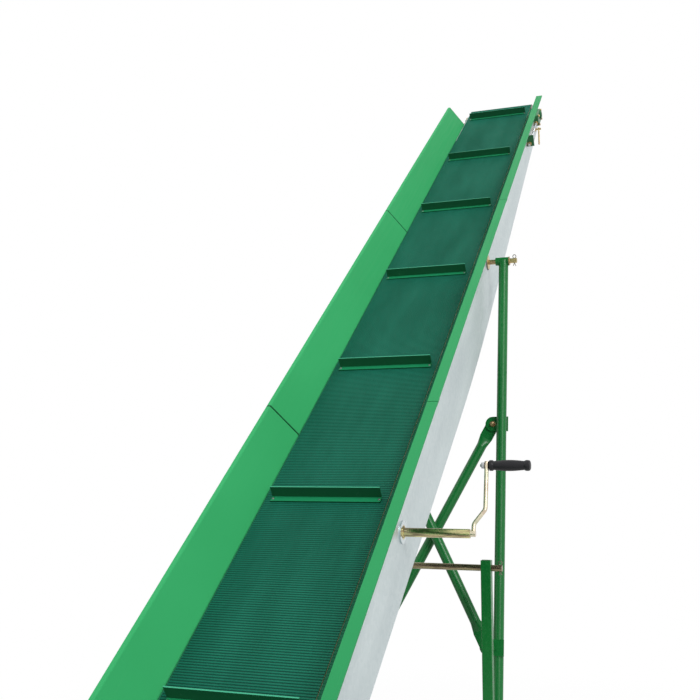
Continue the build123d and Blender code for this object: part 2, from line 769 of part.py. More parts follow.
# Wheels: pressed rims on plain hubs, block-shouldered tyres
rim_inner = rim_radius - rim_thick
for name, sign in sides:
    wheel_plane = Plane(origin=(axle_x, sign * wheel_y, wheel_radius), x_dir=(0, 1, 0), z_dir=(1, 0, 0))
    wheel_axis = Axis((axle_x, sign * wheel_y, wheel_radius), (0, 1, 0))
    with BuildPart() as rim:
        with BuildSketch(wheel_plane) as section:
            hub_wall = hub_dia / 2 - stub_dia / 2 - running_gap
            with Locations((0, hub_dia / 2 - hub_wall / 2)):
                Rectangle(hub_length, hub_wall)
            with BuildLine():
                Polyline(
                    (sign * rim_dish, hub_dia / 2 - rim_thick),
                    (sign * (rim_dish + rim_thick), hub_dia / 2 - rim_thick),
                    (sign * (rim_dish + rim_thick), rim_shelf),
                    (rim_thick * sign, rim_radius - rim_thick / 2),
                    (0, rim_radius - rim_thick / 2),
                    (sign * rim_dish, rim_shelf),
                    close=True,
                )
            make_face()
            with Locations((0, rim_radius - rim_thick / 2)):
                Rectangle(rim_width, rim_thick)
            for edge in (1, -1):
                with Locations((edge * (rim_width - rim_thick) / 2, rim_radius + rim_flange / 2)):
                    Rectangle(rim_thick, rim_flange)
        revolve(axis=wheel_axis)
        with BuildSketch(level_plane(sign * wheel_y + rim_width / 2, axle_x, wheel_radius)) as hand_holes:
            with PolarLocations((rim_shelf + hub_dia / 2) / 2, rim_hole_count):
                Circle(rim_hole_dia / 2)
        extrude(amount=rim_width, mode=Mode.SUBTRACT)
    save(rim, f"rim_{name}")
    with BuildPart() as tyre:
        with BuildSketch(wheel_plane) as section:
            for inset, mode in ((0.0, Mode.ADD), (tyre_wall, Mode.SUBTRACT)):
                bead = rim_width / 2 - rim_thick - running_gap - inset
                seat = rim_radius + running_gap
                rise = seat + rim_flange + 3 + inset
                bulge = ((tyre_width / 2) - inset, (seat + wheel_radius) / 2)
                shoulder = (tyre_width / 2 - tyre_shoulder - inset, wheel_radius - tyre_crown - inset)
                with BuildLine():
                    Polyline((0, seat), (bead, seat), (bead, rise))
                    ThreePointArc((bead, rise), bulge, shoulder)
                    ThreePointArc(shoulder, (0, wheel_radius - inset), (-shoulder[0], shoulder[1]))
                    ThreePointArc((-shoulder[0], shoulder[1]), (-bulge[0], bulge[1]), (-bead, rise))
                    Polyline((-bead, rise), (-bead, seat), (0, seat))
                make_face(mode=mode)
        revolve(axis=wheel_axis)
    save(tyre, f"tyre_{name}")

# Winch: flanged sleeve on the right wall, cranked arm on its shaft, and a grip
flange_width, flange_height, flange_thick = winch_flange
with BuildPart() as winch_sleeve:
    with BuildSketch(side_plane(-wall_face, winch_s, winch_n)) as flange:
        SlotOverall(flange_height, flange_width)
        Circle(crank_shaft_dia / 2 + running_gap, mode=Mode.SUBTRACT)
    extrude(amount=flange_thick)
    with BuildSketch(side_plane(-wall_face, winch_s, winch_n)) as sleeve:
        Circle(sleeve_dia / 2)
        Circle(crank_shaft_dia / 2 + running_gap, mode=Mode.SUBTRACT)
    extrude(amount=sleeve_end_y - wall_face)
save(winch_sleeve, "winch_sleeve")

crank_x, crank_y, crank_z = at_slope(winch_s, winch_n)
crank_tilt = radians(crank_lean)
arm_dir = Vector(sin(crank_tilt), 0, cos(crank_tilt))
arm_plane = Plane(
    origin=(crank_x, 0, crank_z), x_dir=(0, -1, 0), z_dir=(-cos(crank_tilt), 0, sin(crank_tilt))
)
arm_near = sleeve_end_y + crank_arm_gap + crank_bar_dia / 2
arm_far = arm_near + crank_jog
with BuildPart() as crank_arm:
    with BuildLine(arm_plane) as bar_line:
        FilletPolyline(
            (arm_near, 0),
            (arm_near, crank_jog_from),
            (arm_far, crank_jog_to),
            (arm_far, crank_throw + crank_overrun),
            radius=crank_bend,
        )
    bar_foot = arm_plane.from_local_coords(Vector(arm_near, 0))
    with BuildSketch(Plane(origin=bar_foot, x_dir=(0, -1, 0), z_dir=arm_dir)) as bar_section:
        Circle(crank_bar_dia / 2)
    sweep()
    shaft_start = half_gap - crank_shaft_inset
    with BuildSketch(level_plane(-shaft_start, crank_x, crank_z)) as shaft:
        Circle(crank_shaft_dia / 2)
    extrude(amount=arm_near + crank_bar_dia / 2 - shaft_start)
save(crank_arm, "crank_arm")

grip_near = arm_far + crank_bar_dia / 2 + grip_washer
grip_centre = Vector(crank_x, 0, crank_z) + arm_dir * crank_throw
grip_plane = Plane(origin=(grip_centre.X, 0, grip_centre.Z), x_dir=(0, -1, 0), z_dir=(-1, 0, 0))
grip_far = grip_near + grip_length
with BuildPart() as crank_grip:
    with BuildSketch(grip_plane) as section:
        with BuildLine():
            Polyline(
                (grip_near + grip_flange, grip_neck_dia / 2),
                (grip_near + grip_flange, grip_end_dia / 2),
                (grip_near, grip_end_dia / 2),
                (grip_near, 0),
                (grip_far, 0),
                (grip_far, grip_end_dia / 2),
                (grip_far - grip_flange, grip_end_dia / 2),
                (grip_far - grip_flange, grip_neck_dia / 2),
            )
            ThreePointArc(
                (grip_near + grip_flange, grip_neck_dia / 2),
                ((grip_near + grip_far) / 2, grip_crown_dia / 2),
                (grip_far - grip_flange, grip_neck_dia / 2),
            )
        make_face()
    revolve(axis=Axis(grip_plane.origin, grip_plane.x_dir))
    with BuildSketch(level_plane(-arm_far - crank_bar_dia / 2, grip_centre.X, grip_centre.Z)) as washer:
        Circle(grip_bolt_dia)
    extrude(amount=grip_washer)
save(crank_grip, "crank_grip")
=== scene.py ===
from math import ceil, cos, pi, radians, sin
import bpy
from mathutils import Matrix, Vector


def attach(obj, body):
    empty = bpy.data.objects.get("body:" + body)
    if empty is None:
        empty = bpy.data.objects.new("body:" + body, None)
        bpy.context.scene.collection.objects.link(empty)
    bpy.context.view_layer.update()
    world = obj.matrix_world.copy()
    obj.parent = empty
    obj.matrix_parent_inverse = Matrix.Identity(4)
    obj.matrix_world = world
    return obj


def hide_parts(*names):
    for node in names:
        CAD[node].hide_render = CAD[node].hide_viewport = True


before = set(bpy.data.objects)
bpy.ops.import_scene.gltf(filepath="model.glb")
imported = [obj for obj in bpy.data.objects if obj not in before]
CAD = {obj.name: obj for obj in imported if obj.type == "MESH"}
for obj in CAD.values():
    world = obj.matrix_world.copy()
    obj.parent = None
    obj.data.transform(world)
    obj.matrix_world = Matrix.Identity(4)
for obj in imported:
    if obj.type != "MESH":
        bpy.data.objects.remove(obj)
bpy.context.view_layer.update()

# Camera: a short telephoto view from beside the tail, at chest height,
# looking up the conveyor towards the head.
def placed(name, data):
    """Object made from its data and put into the scene."""
    made = bpy.data.objects.new(name, data)
    bpy.context.scene.collection.objects.link(made)
    return made


camera_data = bpy.data.cameras.new("camera")
camera_data.lens = 48.69
camera_data.sensor_width = 36.0
camera_data.clip_end = 200.0
camera = placed("camera", camera_data)
camera.location = (-1.872, -1.007, 1.4537)
camera.rotation_euler = Vector((0.9369, 0.3263, 0.1254)).to_track_quat("-Z", "Y").to_euler()
bpy.context.scene.camera = camera
bpy.context.scene.view_settings.view_transform = "Standard"

# Studio: a plain pale floor, a white surround whose light comes mostly from above, and far
# lamps: the key high over the tail's right-hand side, two weak ones lower down beside it,
# and a broad weak one over the left.
surround = bpy.data.worlds.new("surround")
surround.use_nodes = True
bpy.context.scene.world = surround


def node(tree, kind, inputs=None, **settings):
    """Shader node with its settings, and its inputs set or linked."""
    made = tree.nodes.new("ShaderNode" + kind)
    for key, value in settings.items():
        setattr(made, key, value)
    for key, value in (inputs or {}).items():
        if isinstance(value, bpy.types.NodeSocket):
            tree.links.new(value, made.inputs[key])
        else:
            made.inputs[key].default_value = value
    return made


def worked(tree, operation, first, second=0.5):
    """Result of a sum on one or two values."""
    return node(tree, "Math", {0: first, 1: second}, operation=operation).outputs[0]


def times(tree, first, second):
    return worked(tree, "MULTIPLY", first, second)


def spread(tree, value, low, high, to_low=0.0, to_high=1.0):
    """Value stretched from one range to another."""
    inputs = {"Value": value, "From Min": low, "From Max": high, "To Min": to_low, "To Max": to_high}
    return node(tree, "MapRange", inputs).outputs["Result"]


def seen_directly(tree):
    """1 for rays from the camera or by way of gloss or glass, 0 for diffuse light."""
    path = node(tree, "LightPath").outputs
    gloss = worked(tree, "MAXIMUM", path["Is Camera Ray"], path["Is Glossy Ray"])
    return worked(tree, "MAXIMUM", gloss, path["Is Transmission Ray"])


def new_finish(name, roughness, metallic=0.0, specular=0.5):
    """Material with its shader, its node tree and the object's own coordinates."""
    made = bpy.data.materials.new(name)
    made.use_nodes = True
    tree = made.node_tree
    shader = tree.nodes["Principled BSDF"]
    shader.inputs["Roughness"].default_value = roughness
    shader.inputs["Metallic"].default_value = metallic
    shader.inputs["Specular IOR Level"].default_value = specular
    return made, shader, tree, node(tree, "TexCoord").outputs["Object"]


def feed(tree, shader, colour, rough=None):
    """Links a colour and, where given, a roughness to the shader."""
    tree.links.new(colour, shader.inputs["Base Color"])
    if rough is not None:
        tree.links.new(rough, shader.inputs["Roughness"])


white = (1.0, 1.0, 1.0, 1.0)
sky_zenith = 1.0
sky_horizon = 0.22
sky_tree = surround.node_tree
sky = sky_tree.nodes["Background"]
sky.inputs["Color"].default_value = white
sky_way = node(sky_tree, "SeparateXYZ", {0: node(sky_tree, "TexCoord").outputs["Generated"]})
sky_shade = spread(sky_tree, sky_way.outputs["Z"], 0.0, 1.0, sky_horizon, sky_zenith)
sky_level = spread(sky_tree, seen_directly(sky_tree), 0.0, 1.0, sky_shade, 1.0)
sky_tree.links.new(sky_level, sky.inputs["Strength"])

floor_half = 40.0
floor_bounce = 0.28
# The shadow on the floor is kept round this place and fades out between two distances
shadow_centre = (1.8, 0.0, 0.0)
shadow_near = 1.2
shadow_far = 3.6
floor_mesh = bpy.data.meshes.new("floor")
floor_corners = [(x * floor_half, y * floor_half, 0.0) for x, y in ((-1, -1), (1, -1), (1, 1), (-1, 1))]
floor_mesh.from_pydata(floor_corners, [], [(0, 1, 2, 3)])
floor = placed("floor", floor_mesh)
floor_paint, floor_shader, floor_tree, floor_place = new_finish("floor_paint", 0.9, 0.0, 0.0)
floor_mottle = node(floor_tree, "TexNoise", {"Scale": 3.0, "Detail": 4.0}).outputs["Fac"]
floor_pale = spread(floor_tree, floor_mottle, 0.0, 1.0, 0.84, 0.88)
floor_tone = spread(floor_tree, seen_directly(floor_tree), 0.0, 1.0, floor_bounce, floor_pale)
feed(floor_tree, floor_shader, floor_tone)
floor_white = node(floor_tree, "Emission", {"Color": white, "Strength": 1.0})
floor_reach = node(floor_tree, "VectorMath", {0: floor_place, 1: shadow_centre}, operation="DISTANCE")
floor_fade = spread(floor_tree, floor_reach.outputs["Value"], shadow_near, shadow_far, 0.7, 1.0)
floor_share = times(floor_tree, seen_directly(floor_tree), floor_fade)
floor_mix = node(floor_tree, "MixShader", {0: floor_share, 1: floor_shader.outputs[0],
                                           2: floor_white.outputs[0]})
floor_tree.links.new(floor_mix.outputs[0], floor_tree.nodes["Material Output"].inputs["Surface"])
floor_mesh.materials.append(floor_paint)


def lamp(name, place, breadth, power):
    """Broad far lamp that shines from a place on the object, as wide as an angle in the sky."""
    light = bpy.data.lights.new(name, "SUN")
    light.angle = radians(breadth)
    light.energy = power
    made = placed(name, light)
    made.location = place
    made.rotation_euler = (-Vector(place)).to_track_quat("-Z", "Y").to_euler()


lamp("key_lamp", (-4.4, -4.9, 5.9), 22.0, 1.0)
lamp("fill_lamp", (-0.6, 5.0, 5.0), 50.0, 0.4)
lamp("middle_lamp", (-6.7, -5.8, 4.6), 18.0, 0.3)
lamp("low_lamp", (-7.5, -6.3, 2.0), 18.0, 0.3)

# Side walls: two long webs of hot-dip galvanised sheet, cut deepest over the
# undercarriage and folded in along the lower edge. The zinc shows a frosty spangle.
slope = radians(37.0)
tail_x = -0.356
tail_z = 0.394
# Where the slope's own coordinates start up the slope, from the tail drum
along_zero = -(tail_x * cos(slope) + tail_z * sin(slope))


def srgb(red, green, blue):
    """Scene colour from the 0 to 255 values that a screen shows."""
    parts = [value / 255.0 for value in (red, green, blue)]
    return tuple(p / 12.92 if p <= 0.04045 else ((p + 0.055) / 1.055) ** 2.4 for p in parts) + (1.0,)


def on_slope(s, n, y=0.0):
    """Point at s up the slope from the tail drum, n off the drum line and y to the left."""
    return Vector((tail_x + s * cos(slope) - n * sin(slope), y, tail_z + s * sin(slope) + n * cos(slope)))


def noise(tree, coords, scale, detail=3.0, rough=0.5):
    """Cloudy value from 0 to 1."""
    inputs = {"Vector": coords, "Scale": scale, "Detail": detail, "Roughness": rough}
    return node(tree, "TexNoise", inputs).outputs["Fac"]


def graded(tree, value, stops):
    """Colour along a ramp of stops, each a place and a screen's 0 to 255 values."""
    made = node(tree, "ValToRGB", {"Fac": value})
    while len(made.color_ramp.elements) < len(stops):
        made.color_ramp.elements.new(0.5)
    for element, (place, colour) in zip(made.color_ramp.elements, stops):
        element.position = place
        element.color = srgb(*colour)
    return made.outputs["Color"]


def blended(tree, share, first, second):
    """Two colours, as screen values or from sockets, mixed by a share."""
    first, second = [srgb(*colour) if isinstance(colour, tuple) else colour for colour in (first, second)]
    return node(tree, "Mix", {0: share, 6: first, 7: second}, data_type="RGBA").outputs[2]


def bumped(tree, shader, height, depth, strength=0.6):
    """Surface relief of a given depth in metres."""
    made = node(tree, "Bump", {"Height": height, "Distance": depth, "Strength": strength})
    tree.links.new(made.outputs["Normal"], shader.inputs["Normal"])


def along_slope(tree, coords, grain):
    """Coordinates laid along the belt, scaled by a grain's length, width and height."""
    inputs = {"Vector": coords, "Rotation": (0.0, -slope, 0.0), "Scale": grain}
    return node(tree, "Mapping", inputs, vector_type="TEXTURE").outputs["Vector"]


def galvanised(name, tone, dark):
    """Hot-dip zinc: frosty crystals, soft drain streaks and a fine grain."""
    made, shader, tree, coords = new_finish(name, 0.42, 0.55)
    crystal = node(tree, "TexVoronoi", {"Vector": coords, "Scale": 75.0, "Randomness": 1.0})
    flake = node(tree, "SeparateColor", {0: crystal.outputs["Color"]})
    cloud = noise(tree, along_slope(tree, coords, (0.9, 0.25, 0.25)), 1.6, 4.0)
    tint = graded(tree, cloud, [(0.3, dark), (0.7, tone)])
    frosted = blended(tree, spread(tree, flake.outputs[0], 0.0, 1.0, 0.0, 0.22), tint, dark)
    feed(tree, shader, frosted, spread(tree, flake.outputs[1], 0.0, 1.0, 0.34, 0.52))
    grain = noise(tree, coords, 420.0, 2.0)
    bumped(tree, shader, worked(tree, "ADD", crystal.outputs["Distance"], grain), 0.0002, 0.35)
    return made


def dress(node_name, finish, edge=0.0):
    """Gives a CAD piece its finish and, where asked, softly rounded edges."""
    piece = CAD[node_name]
    piece.data.materials.clear()
    piece.data.materials.append(finish)
    if edge:
        soften = piece.modifiers.new("soft_edges", "BEVEL")
        soften.width = edge
        soften.segments = 2
        soften.limit_method = "ANGLE"
        soften.angle_limit = radians(40.0)
        soften.harden_normals = True


wall_zinc = galvanised("wall_zinc", (214, 225, 226), (196, 208, 210))
for side in ("left", "right"):
    dress(f"wall_{side}", wall_zinc)

# Slide bed, cross ties and return rails: a folded galvanised pan under the carrying
# strand, tubes welded between the walls, and angle rails that carry the returning belt.
bed_zinc = galvanised("bed_zinc", (186, 191, 195), (150, 156, 160))
for piece_name in ("slide_bed", "cross_ties", "return_rails"):
    dress(piece_name, bed_zinc)

# Drums: turned steel shells with welded webs and shafts. The faces that carry the belt
# are burnished, with faint turning rings.
def machined(name, tone, dark, roughness, rings=900.0):
    """Turned or ground steel: fine rings across Y, stains and small scratches."""
    made, shader, tree, coords = new_finish(name, roughness, 0.9)
    wave = node(tree, "TexWave", {"Vector": coords, "Scale": rings, "Distortion": 1.5, "Detail": 2.0},
                bands_direction="Y")
    stain = noise(tree, coords, 14.0, 5.0, 0.6)
    feed(tree, shader, graded(tree, stain, [(0.35, dark), (0.62, tone)]),
         spread(tree, stain, 0.2, 0.8, roughness + 0.14, roughness - 0.06))
    bumped(tree, shader, wave.outputs["Fac"], 0.00008, 0.4)
    return made


drum_steel = machined("drum_steel", (176, 178, 180), (120, 121, 122), 0.34)
for piece_name in ("head_drum", "tail_drum"):
    dress(piece_name, drum_steel, 0.0008)

# Belt: an endless rubber belt, dark green on top, moulded with fine cross ribs.
# The fabric carcass shows as a tan line along both cut edges. The groove floors between
# the ribs and the hollows of the fine cells are painted darker, as painted shade.
drum_spacing = 5.521
drum_radius = 0.0665
belt_loop = 2 * (drum_spacing + pi * drum_radius)
belt_thick = 0.005
belt_left = 0.201
belt_right = -0.189
rib_pitch = 0.0085
rib_height = 0.0011
carcass_height = 0.0044
cell_pitch = 0.0075
groove_shade_strength = 0.85
belt_green = (20, 115, 92)
belt_shade = (11, 98, 77)
# Painted shade laid into the groove floors between the ribs
groove_shade_colour = (10, 58, 44)
carcass_tan = (188, 184, 146)
carcass_brown = (140, 136, 104)


def show(name, mesh, finishes, body="boom", sharp=35.0):
    """Links a mesh as a piece that rides on a body and takes the finishes given."""
    for finish in finishes:
        mesh.materials.append(finish)
    mesh.validate()
    mesh.shade_smooth()
    mesh.set_sharp_from_angle(angle=radians(sharp))
    piece = placed(name, mesh)
    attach(piece, body)
    return piece


def skinned(rings, count, looped=False, capped=False):
    """Faces between rings of as many points each, run into a loop or capped where asked."""
    faces = []
    for ring in range(rings if looped else rings - 1):
        low = ring * count
        high = (ring + 1) % rings * count
        for step in range(count):
            after = (step + 1) % count
            faces.append((low + step, low + after, high + after, high + step))
    if capped:
        faces += [tuple(range(count - 1, -1, -1)), tuple(range((rings - 1) * count, rings * count))]
    return faces


def slope_axes(tree):
    """Distances in metres: X up the slope, Y across it and Z off it."""
    coords = node(tree, "TexCoord").outputs["Object"]
    return node(tree, "SeparateXYZ", {0: along_slope(tree, coords, (1.0, 1.0, 1.0))}).outputs


def belt_line(travel, lift):
    """Point (s, n) on the belt loop at a distance along its inner face, lifted off it."""
    half_turn = pi * drum_radius
    d = travel % belt_loop
    radius = drum_radius + lift
    if d < drum_spacing:
        return d, radius
    d -= drum_spacing
    if d < half_turn:
        turn = d / drum_radius
        return drum_spacing + radius * sin(turn), radius * cos(turn)
    d -= half_turn
    if d < drum_spacing:
        return drum_spacing - d, -radius
    turn = (d - drum_spacing) / drum_radius
    return -radius * sin(turn), -radius * cos(turn)


rib_count = round(belt_loop / rib_pitch)
rib_step = belt_loop / rib_count
# One rib along the belt: share of the pitch, share of the rib's height
rib_profile = [(0.0, 0.0), (0.22, 0.0), (0.36, 1.0), (0.84, 1.0)]
belt_verts = []
belt_groove = []
for rib in range(rib_count):
    for share, raised in rib_profile:
        top = belt_thick - rib_height * (1.0 - raised)
        for y, lift in ((belt_right, top), (belt_left, top), (belt_left, carcass_height), (belt_left, 0.0),
                        (belt_right, 0.0), (belt_right, carcass_height)):
            s, n = belt_line((rib + share) * rib_step, lift)
            belt_verts.append(on_slope(s, n, y))
            belt_groove.append(1.0 - raised)
# Finish of each face round the section: 0 rubber, 1 carcass
belt_sides = [0, 0, 1, 1, 1, 0]
station_count = rib_count * len(rib_profile)
belt_mesh = bpy.data.meshes.new("ribbed_belt")
belt_mesh.from_pydata(belt_verts, [], skinned(station_count, len(belt_sides), True))
belt_mesh.polygons.foreach_set("material_index", belt_sides * station_count)
belt_mesh.attributes.new("groove", "FLOAT", "POINT").data.foreach_set("value", belt_groove)
belt_rubber, belt_shader, belt_tree, belt_coords = new_finish("belt_rubber", 0.62, 0.0, 0.12)
cell = worked(belt_tree, "SINE", times(belt_tree, slope_axes(belt_tree)["Y"], 2 * pi / cell_pitch))
cell_height = spread(belt_tree, cell, -0.2, 0.6)
belt_cloud = noise(belt_tree, along_slope(belt_tree, belt_coords, (0.5, 0.12, 0.3)), 1.0, 5.0, 0.55)
belt_tone = graded(belt_tree, belt_cloud, [(0.32, belt_shade), (0.66, belt_green)])
# Painted shade: the hollows of the fine cell relief are darkened a little.
belt_cell_hollows_shaded = blended(belt_tree, spread(belt_tree, cell_height, 0.0, 1.0, 0.12, 0.0), belt_tone, belt_shade)
belt_scuff = noise(belt_tree, along_slope(belt_tree, belt_coords, (0.12, 0.006, 0.05)), 1.0, 3.0, 0.6)
belt_scuffed = spread(belt_tree, belt_scuff, 0.64, 0.8, 0.0, 0.08)
belt_worn = blended(belt_tree, belt_scuffed, belt_cell_hollows_shaded, (84, 142, 120))
groove = node(belt_tree, "Attribute", attribute_name="groove").outputs["Fac"]
# Painted shade: the groove floors between the ribs are darkened towards a deep green.
belt_groove_shaded = blended(belt_tree, times(belt_tree, groove, groove_shade_strength), belt_worn, groove_shade_colour)
feed(belt_tree, belt_shader, belt_groove_shaded, spread(belt_tree, belt_cloud, 0.2, 0.8, 0.7, 0.52))
bumped(belt_tree, belt_shader, cell_height, 0.0004, 0.4)
carcass, carcass_shader, carcass_tree, carcass_coords = new_finish("belt_carcass", 0.9, 0.0, 0.05)
weave = noise(carcass_tree, along_slope(carcass_tree, carcass_coords, (0.004, 0.001, 0.001)), 1.0, 2.0)
feed(carcass_tree, carcass_shader, graded(carcass_tree, weave, [(0.35, carcass_brown), (0.65, carcass_tan)]))
bumped(carcass_tree, carcass_shader, weave, 0.0004, 0.6)
belt = show("ribbed_belt", belt_mesh, [belt_rubber, carcass], sharp=30.0)
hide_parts("belt")

# Seal strips: ribbed rubber strips that close the gaps between the belt's edges and the
# walls, laid on the slide bed with their ribs on the skew.
strip_foot = 0.0667
strip_thick = 0.0018
strip_start = 0.06
strip_pitch = 0.011
strip_skew = 0.006


def woven_rubber(name, tone, dark, roughness, grain, specular=0.4):
    """Rubber or moulded plastic: cloudy tone, dull dust and a fine skin."""
    made, shader, tree, coords = new_finish(name, roughness, 0.0, specular)
    cloud = noise(tree, coords, 9.0, 5.0, 0.6)
    feed(tree, shader, graded(tree, cloud, [(0.3, dark), (0.72, tone)]),
         spread(tree, cloud, 0.2, 0.8, roughness - 0.08, roughness + 0.12))
    bumped(tree, shader, noise(tree, coords, grain, 2.0), 0.0003, 0.5)
    return made


strip_rubber = woven_rubber("strip_rubber", (46, 120, 90), (30, 94, 68), 0.7, 700.0, 0.06)
# Strips: name, edge by the belt, edge by the wall, end up the slope
strips = [("seal_strip_right", -0.1905, -0.2068, 5.44), ("seal_strip_left", 0.2015, 0.2068, 4.95)]
for strip_name, strip_near, strip_far, strip_end in strips:
    strip_verts = []
    for rib in range(int((strip_end - strip_start) / strip_pitch)):
        for share, lift in ((0.0, 0.55), (0.3, 0.55), (0.4, 1.0), (0.9, 1.0)):
            s = strip_start + (rib + share) * strip_pitch
            for y, shift, height in ((strip_near, 0.0, 0.0), (strip_near, 0.0, lift),
                                     (strip_far, strip_skew, lift), (strip_far, strip_skew, 0.0)):
                strip_verts.append(on_slope(s + shift, strip_foot + height * strip_thick, y))
    strip_mesh = bpy.data.meshes.new(strip_name)
    strip_mesh.from_pydata(strip_verts, [], skinned(len(strip_verts) // 4, 4, capped=True))
    show(strip_name, strip_mesh, [strip_rubber], sharp=30.0)

# Flights: steel angles across the belt, painted green, their feet towards the tail.
# Each is held through the belt by two dull cup-head bolts. Painted light and shade: the faces
# across the slope keep a dark green as painted shade, the faces turned off the belt are
# painted lighter, and a painted pale highlight runs along the top edge.
flight_pitch = 0.765033
flight_foot = 0.025
flight_thick = 0.004
flight_count = 15
flight_bolt_ys = (-0.1635, 0.1755)
flight_bolt_radius = 0.0046
belt_top = 0.0715
off_belt = on_slope(0, 1) - on_slope(0, 0)


def worn_edges(tree, reach):
    """1 along outer edges and corners, falling to 0 a short way in."""
    rounded = node(tree, "Bevel", {"Radius": reach}, samples=4)
    flat = node(tree, "NewGeometry").outputs["Normal"]
    facing = node(tree, "VectorMath", {0: rounded.outputs["Normal"], 1: flat}, operation="DOT_PRODUCT")
    return spread(tree, facing.outputs["Value"], 0.92, 0.7)


def painted(name, colour, dark, primer, roughness, scuffs, mud=0.0, specular=0.5, chipping=0.5, peel=0.3):
    """Stove enamel: slight drift of tone, orange-peel skin, scuffs up the slope, worn edges."""
    made, shader, tree, coords = new_finish(name, roughness, 0.0, specular)
    drift = noise(tree, coords, 1.3, 4.0)
    tone = graded(tree, drift, [(0.34, dark), (0.66, colour)])
    dulled = noise(tree, along_slope(tree, coords, (0.35, 0.012, 0.012)), 1.0, 4.0, 0.6)
    scuffed = blended(tree, spread(tree, dulled, 0.63, 0.82, 0.0, scuffs), tone, primer)
    chipped = scuffed
    if chipping:
        flaked = spread(tree, noise(tree, coords, 46.0, 5.0, 0.65), 0.5, 0.66)
        chips = times(tree, worn_edges(tree, 0.0018), flaked)
        chipped = blended(tree, times(tree, chips, chipping), scuffed, primer)
    if mud:
        height = node(tree, "SeparateXYZ", {0: coords}).outputs["Z"]
        patches = spread(tree, noise(tree, coords, 22.0, 5.0), 0.42, 0.68)
        splash = times(tree, spread(tree, height, 0.42, 0.0), patches)
        chipped = blended(tree, times(tree, splash, mud), chipped, (132, 116, 92))
    feed(tree, shader, chipped, spread(tree, dulled, 0.3, 0.8, roughness - 0.05, roughness + 0.2))
    bumped(tree, shader, noise(tree, coords, 330.0, 2.0), 0.00025, peel)
    return made


def overlaid(finish, share, colour):
    """Lays a colour over a finish, by a share."""
    tree = finish.node_tree
    base = tree.nodes["Principled BSDF"].inputs["Base Color"]
    tree.links.new(blended(tree, share, base.links[0].from_socket, colour), base)


def square_to(axis):
    """Unit vector along an axis and two more square to it."""
    run = Vector(axis).normalized()
    side = run.orthogonal().normalized()
    return run, side, run.cross(side)


def turned(profile, centre, axis, steps=24, closed=False, start=0.0):
    """Mesh turned about an axis from (radius, height) points, closed where the radius is 0."""
    run, side, other = square_to(axis)
    centre = Vector(centre)
    verts = []
    rings = []
    for radius, height in profile:
        if radius < 1e-7:
            rings.append([len(verts)])
            verts.append(centre + run * height)
            continue
        rings.append(list(range(len(verts), len(verts) + steps)))
        for step in range(steps):
            angle = start + 2 * pi * step / steps
            verts.append(centre + run * height + (side * cos(angle) + other * sin(angle)) * radius)
    faces = []
    pairs = list(zip(rings, rings[1:]))
    if closed:
        pairs.append((rings[-1], rings[0]))
    for low, high in pairs:
        for step in range(steps):
            after = (step + 1) % steps
            corners = [low[step % len(low)], low[after % len(low)],
                       high[after % len(high)], high[step % len(high)]]
            face = tuple(dict.fromkeys(corners))
            if len(face) > 2:
                faces.append(face)
    return verts, faces


def gathered(name, shapes, finish, body="boom", sharp=35.0):
    """One piece from several meshes that are made and fixed alike."""
    verts = []
    faces = []
    for shape_verts, shape_faces in shapes:
        base = len(verts)
        verts += shape_verts
        faces += [tuple(index + base for index in face) for face in shape_faces]
    mesh = bpy.data.meshes.new(name)
    mesh.from_pydata(verts, [], faces)
    return show(name, mesh, [finish], body, sharp)


def cup_head(centre, axis, radius):
    """Domed bolt head."""
    dome = [(radius * cos(turn * pi / 10), radius * 0.55 * sin(turn * pi / 10)) for turn in range(5)]
    return turned([(0.0, -0.0005), (radius, -0.0005)] + dome + [(0.0, radius * 0.55)], centre, axis, 20)


def plated(name, tone, dark, roughness):
    """Bright zinc plate: cloudy grey, fine scratches and dulled hollows."""
    made, shader, tree, coords = new_finish(name, roughness, 0.95)
    cloud = noise(tree, coords, 55.0, 4.0, 0.6)
    feed(tree, shader, graded(tree, cloud, [(0.35, dark), (0.65, tone)]),
         spread(tree, cloud, 0.2, 0.8, roughness + 0.15, roughness - 0.05))
    bumped(tree, shader, noise(tree, coords, 900.0, 2.0), 0.0001, 0.4)
    return made


flight_paint = painted("flight_paint", (30, 100, 67), (25, 93, 61), (120, 168, 150), 0.42, 0.2,
                       specular=0.2)
flight_tree = flight_paint.node_tree
flight_facing = node(flight_tree, "NewGeometry").outputs["Normal"]
flight_lit_share = node(flight_tree, "VectorMath", {0: flight_facing, 1: off_belt}, operation="DOT_PRODUCT")
# Painted light: faces turned off the belt take a lighter green, growing to a pale painted highlight at the
# height of the top edge.
flight_painted_light = graded(flight_tree, spread(flight_tree, slope_axes(flight_tree)["Z"], 0.606, 0.638),
                [(0.2, (30, 144, 94)), (0.8, (64, 172, 134))])
overlaid(flight_paint, spread(flight_tree, flight_lit_share.outputs["Value"], 0.3, 0.9), flight_painted_light)
dress("flights", flight_paint, 0.0011)
bright_zinc = plated("bright_zinc", (206, 208, 210), (150, 153, 156), 0.24)
dull_zinc = plated("dull_zinc", (140, 146, 142), (96, 102, 98), 0.4)
flight_bolts = []
for index in range(flight_count):
    down_belt = index * flight_pitch - flight_foot * 0.55
    if 0.05 < down_belt < drum_spacing:
        for y in flight_bolt_ys:
            seat = on_slope(down_belt, belt_top + flight_thick, y)
            flight_bolts.append(cup_head(seat, off_belt, flight_bolt_radius))
gathered("flight_bolts", flight_bolts, dull_zinc)

# Side boards and feed hood: flared steel sheets, three to a side, bolted through the walls,
# with straps behind the seams, a capping along the right-hand edge and a hood round the
# tail. Mid-green stove enamel, with a dark band of painted shade along each seam; the
# capping takes a darker copy of the green as painted shade.
board_tail_s = 0.158
board_length = 1.705
seam_half = 0.0015
board_paint = painted("board_paint", (60, 175, 108), (54, 167, 101), (120, 192, 150), 0.5, 0.08,
                      specular=0.08, chipping=0.3)
board_tree = board_paint.node_tree
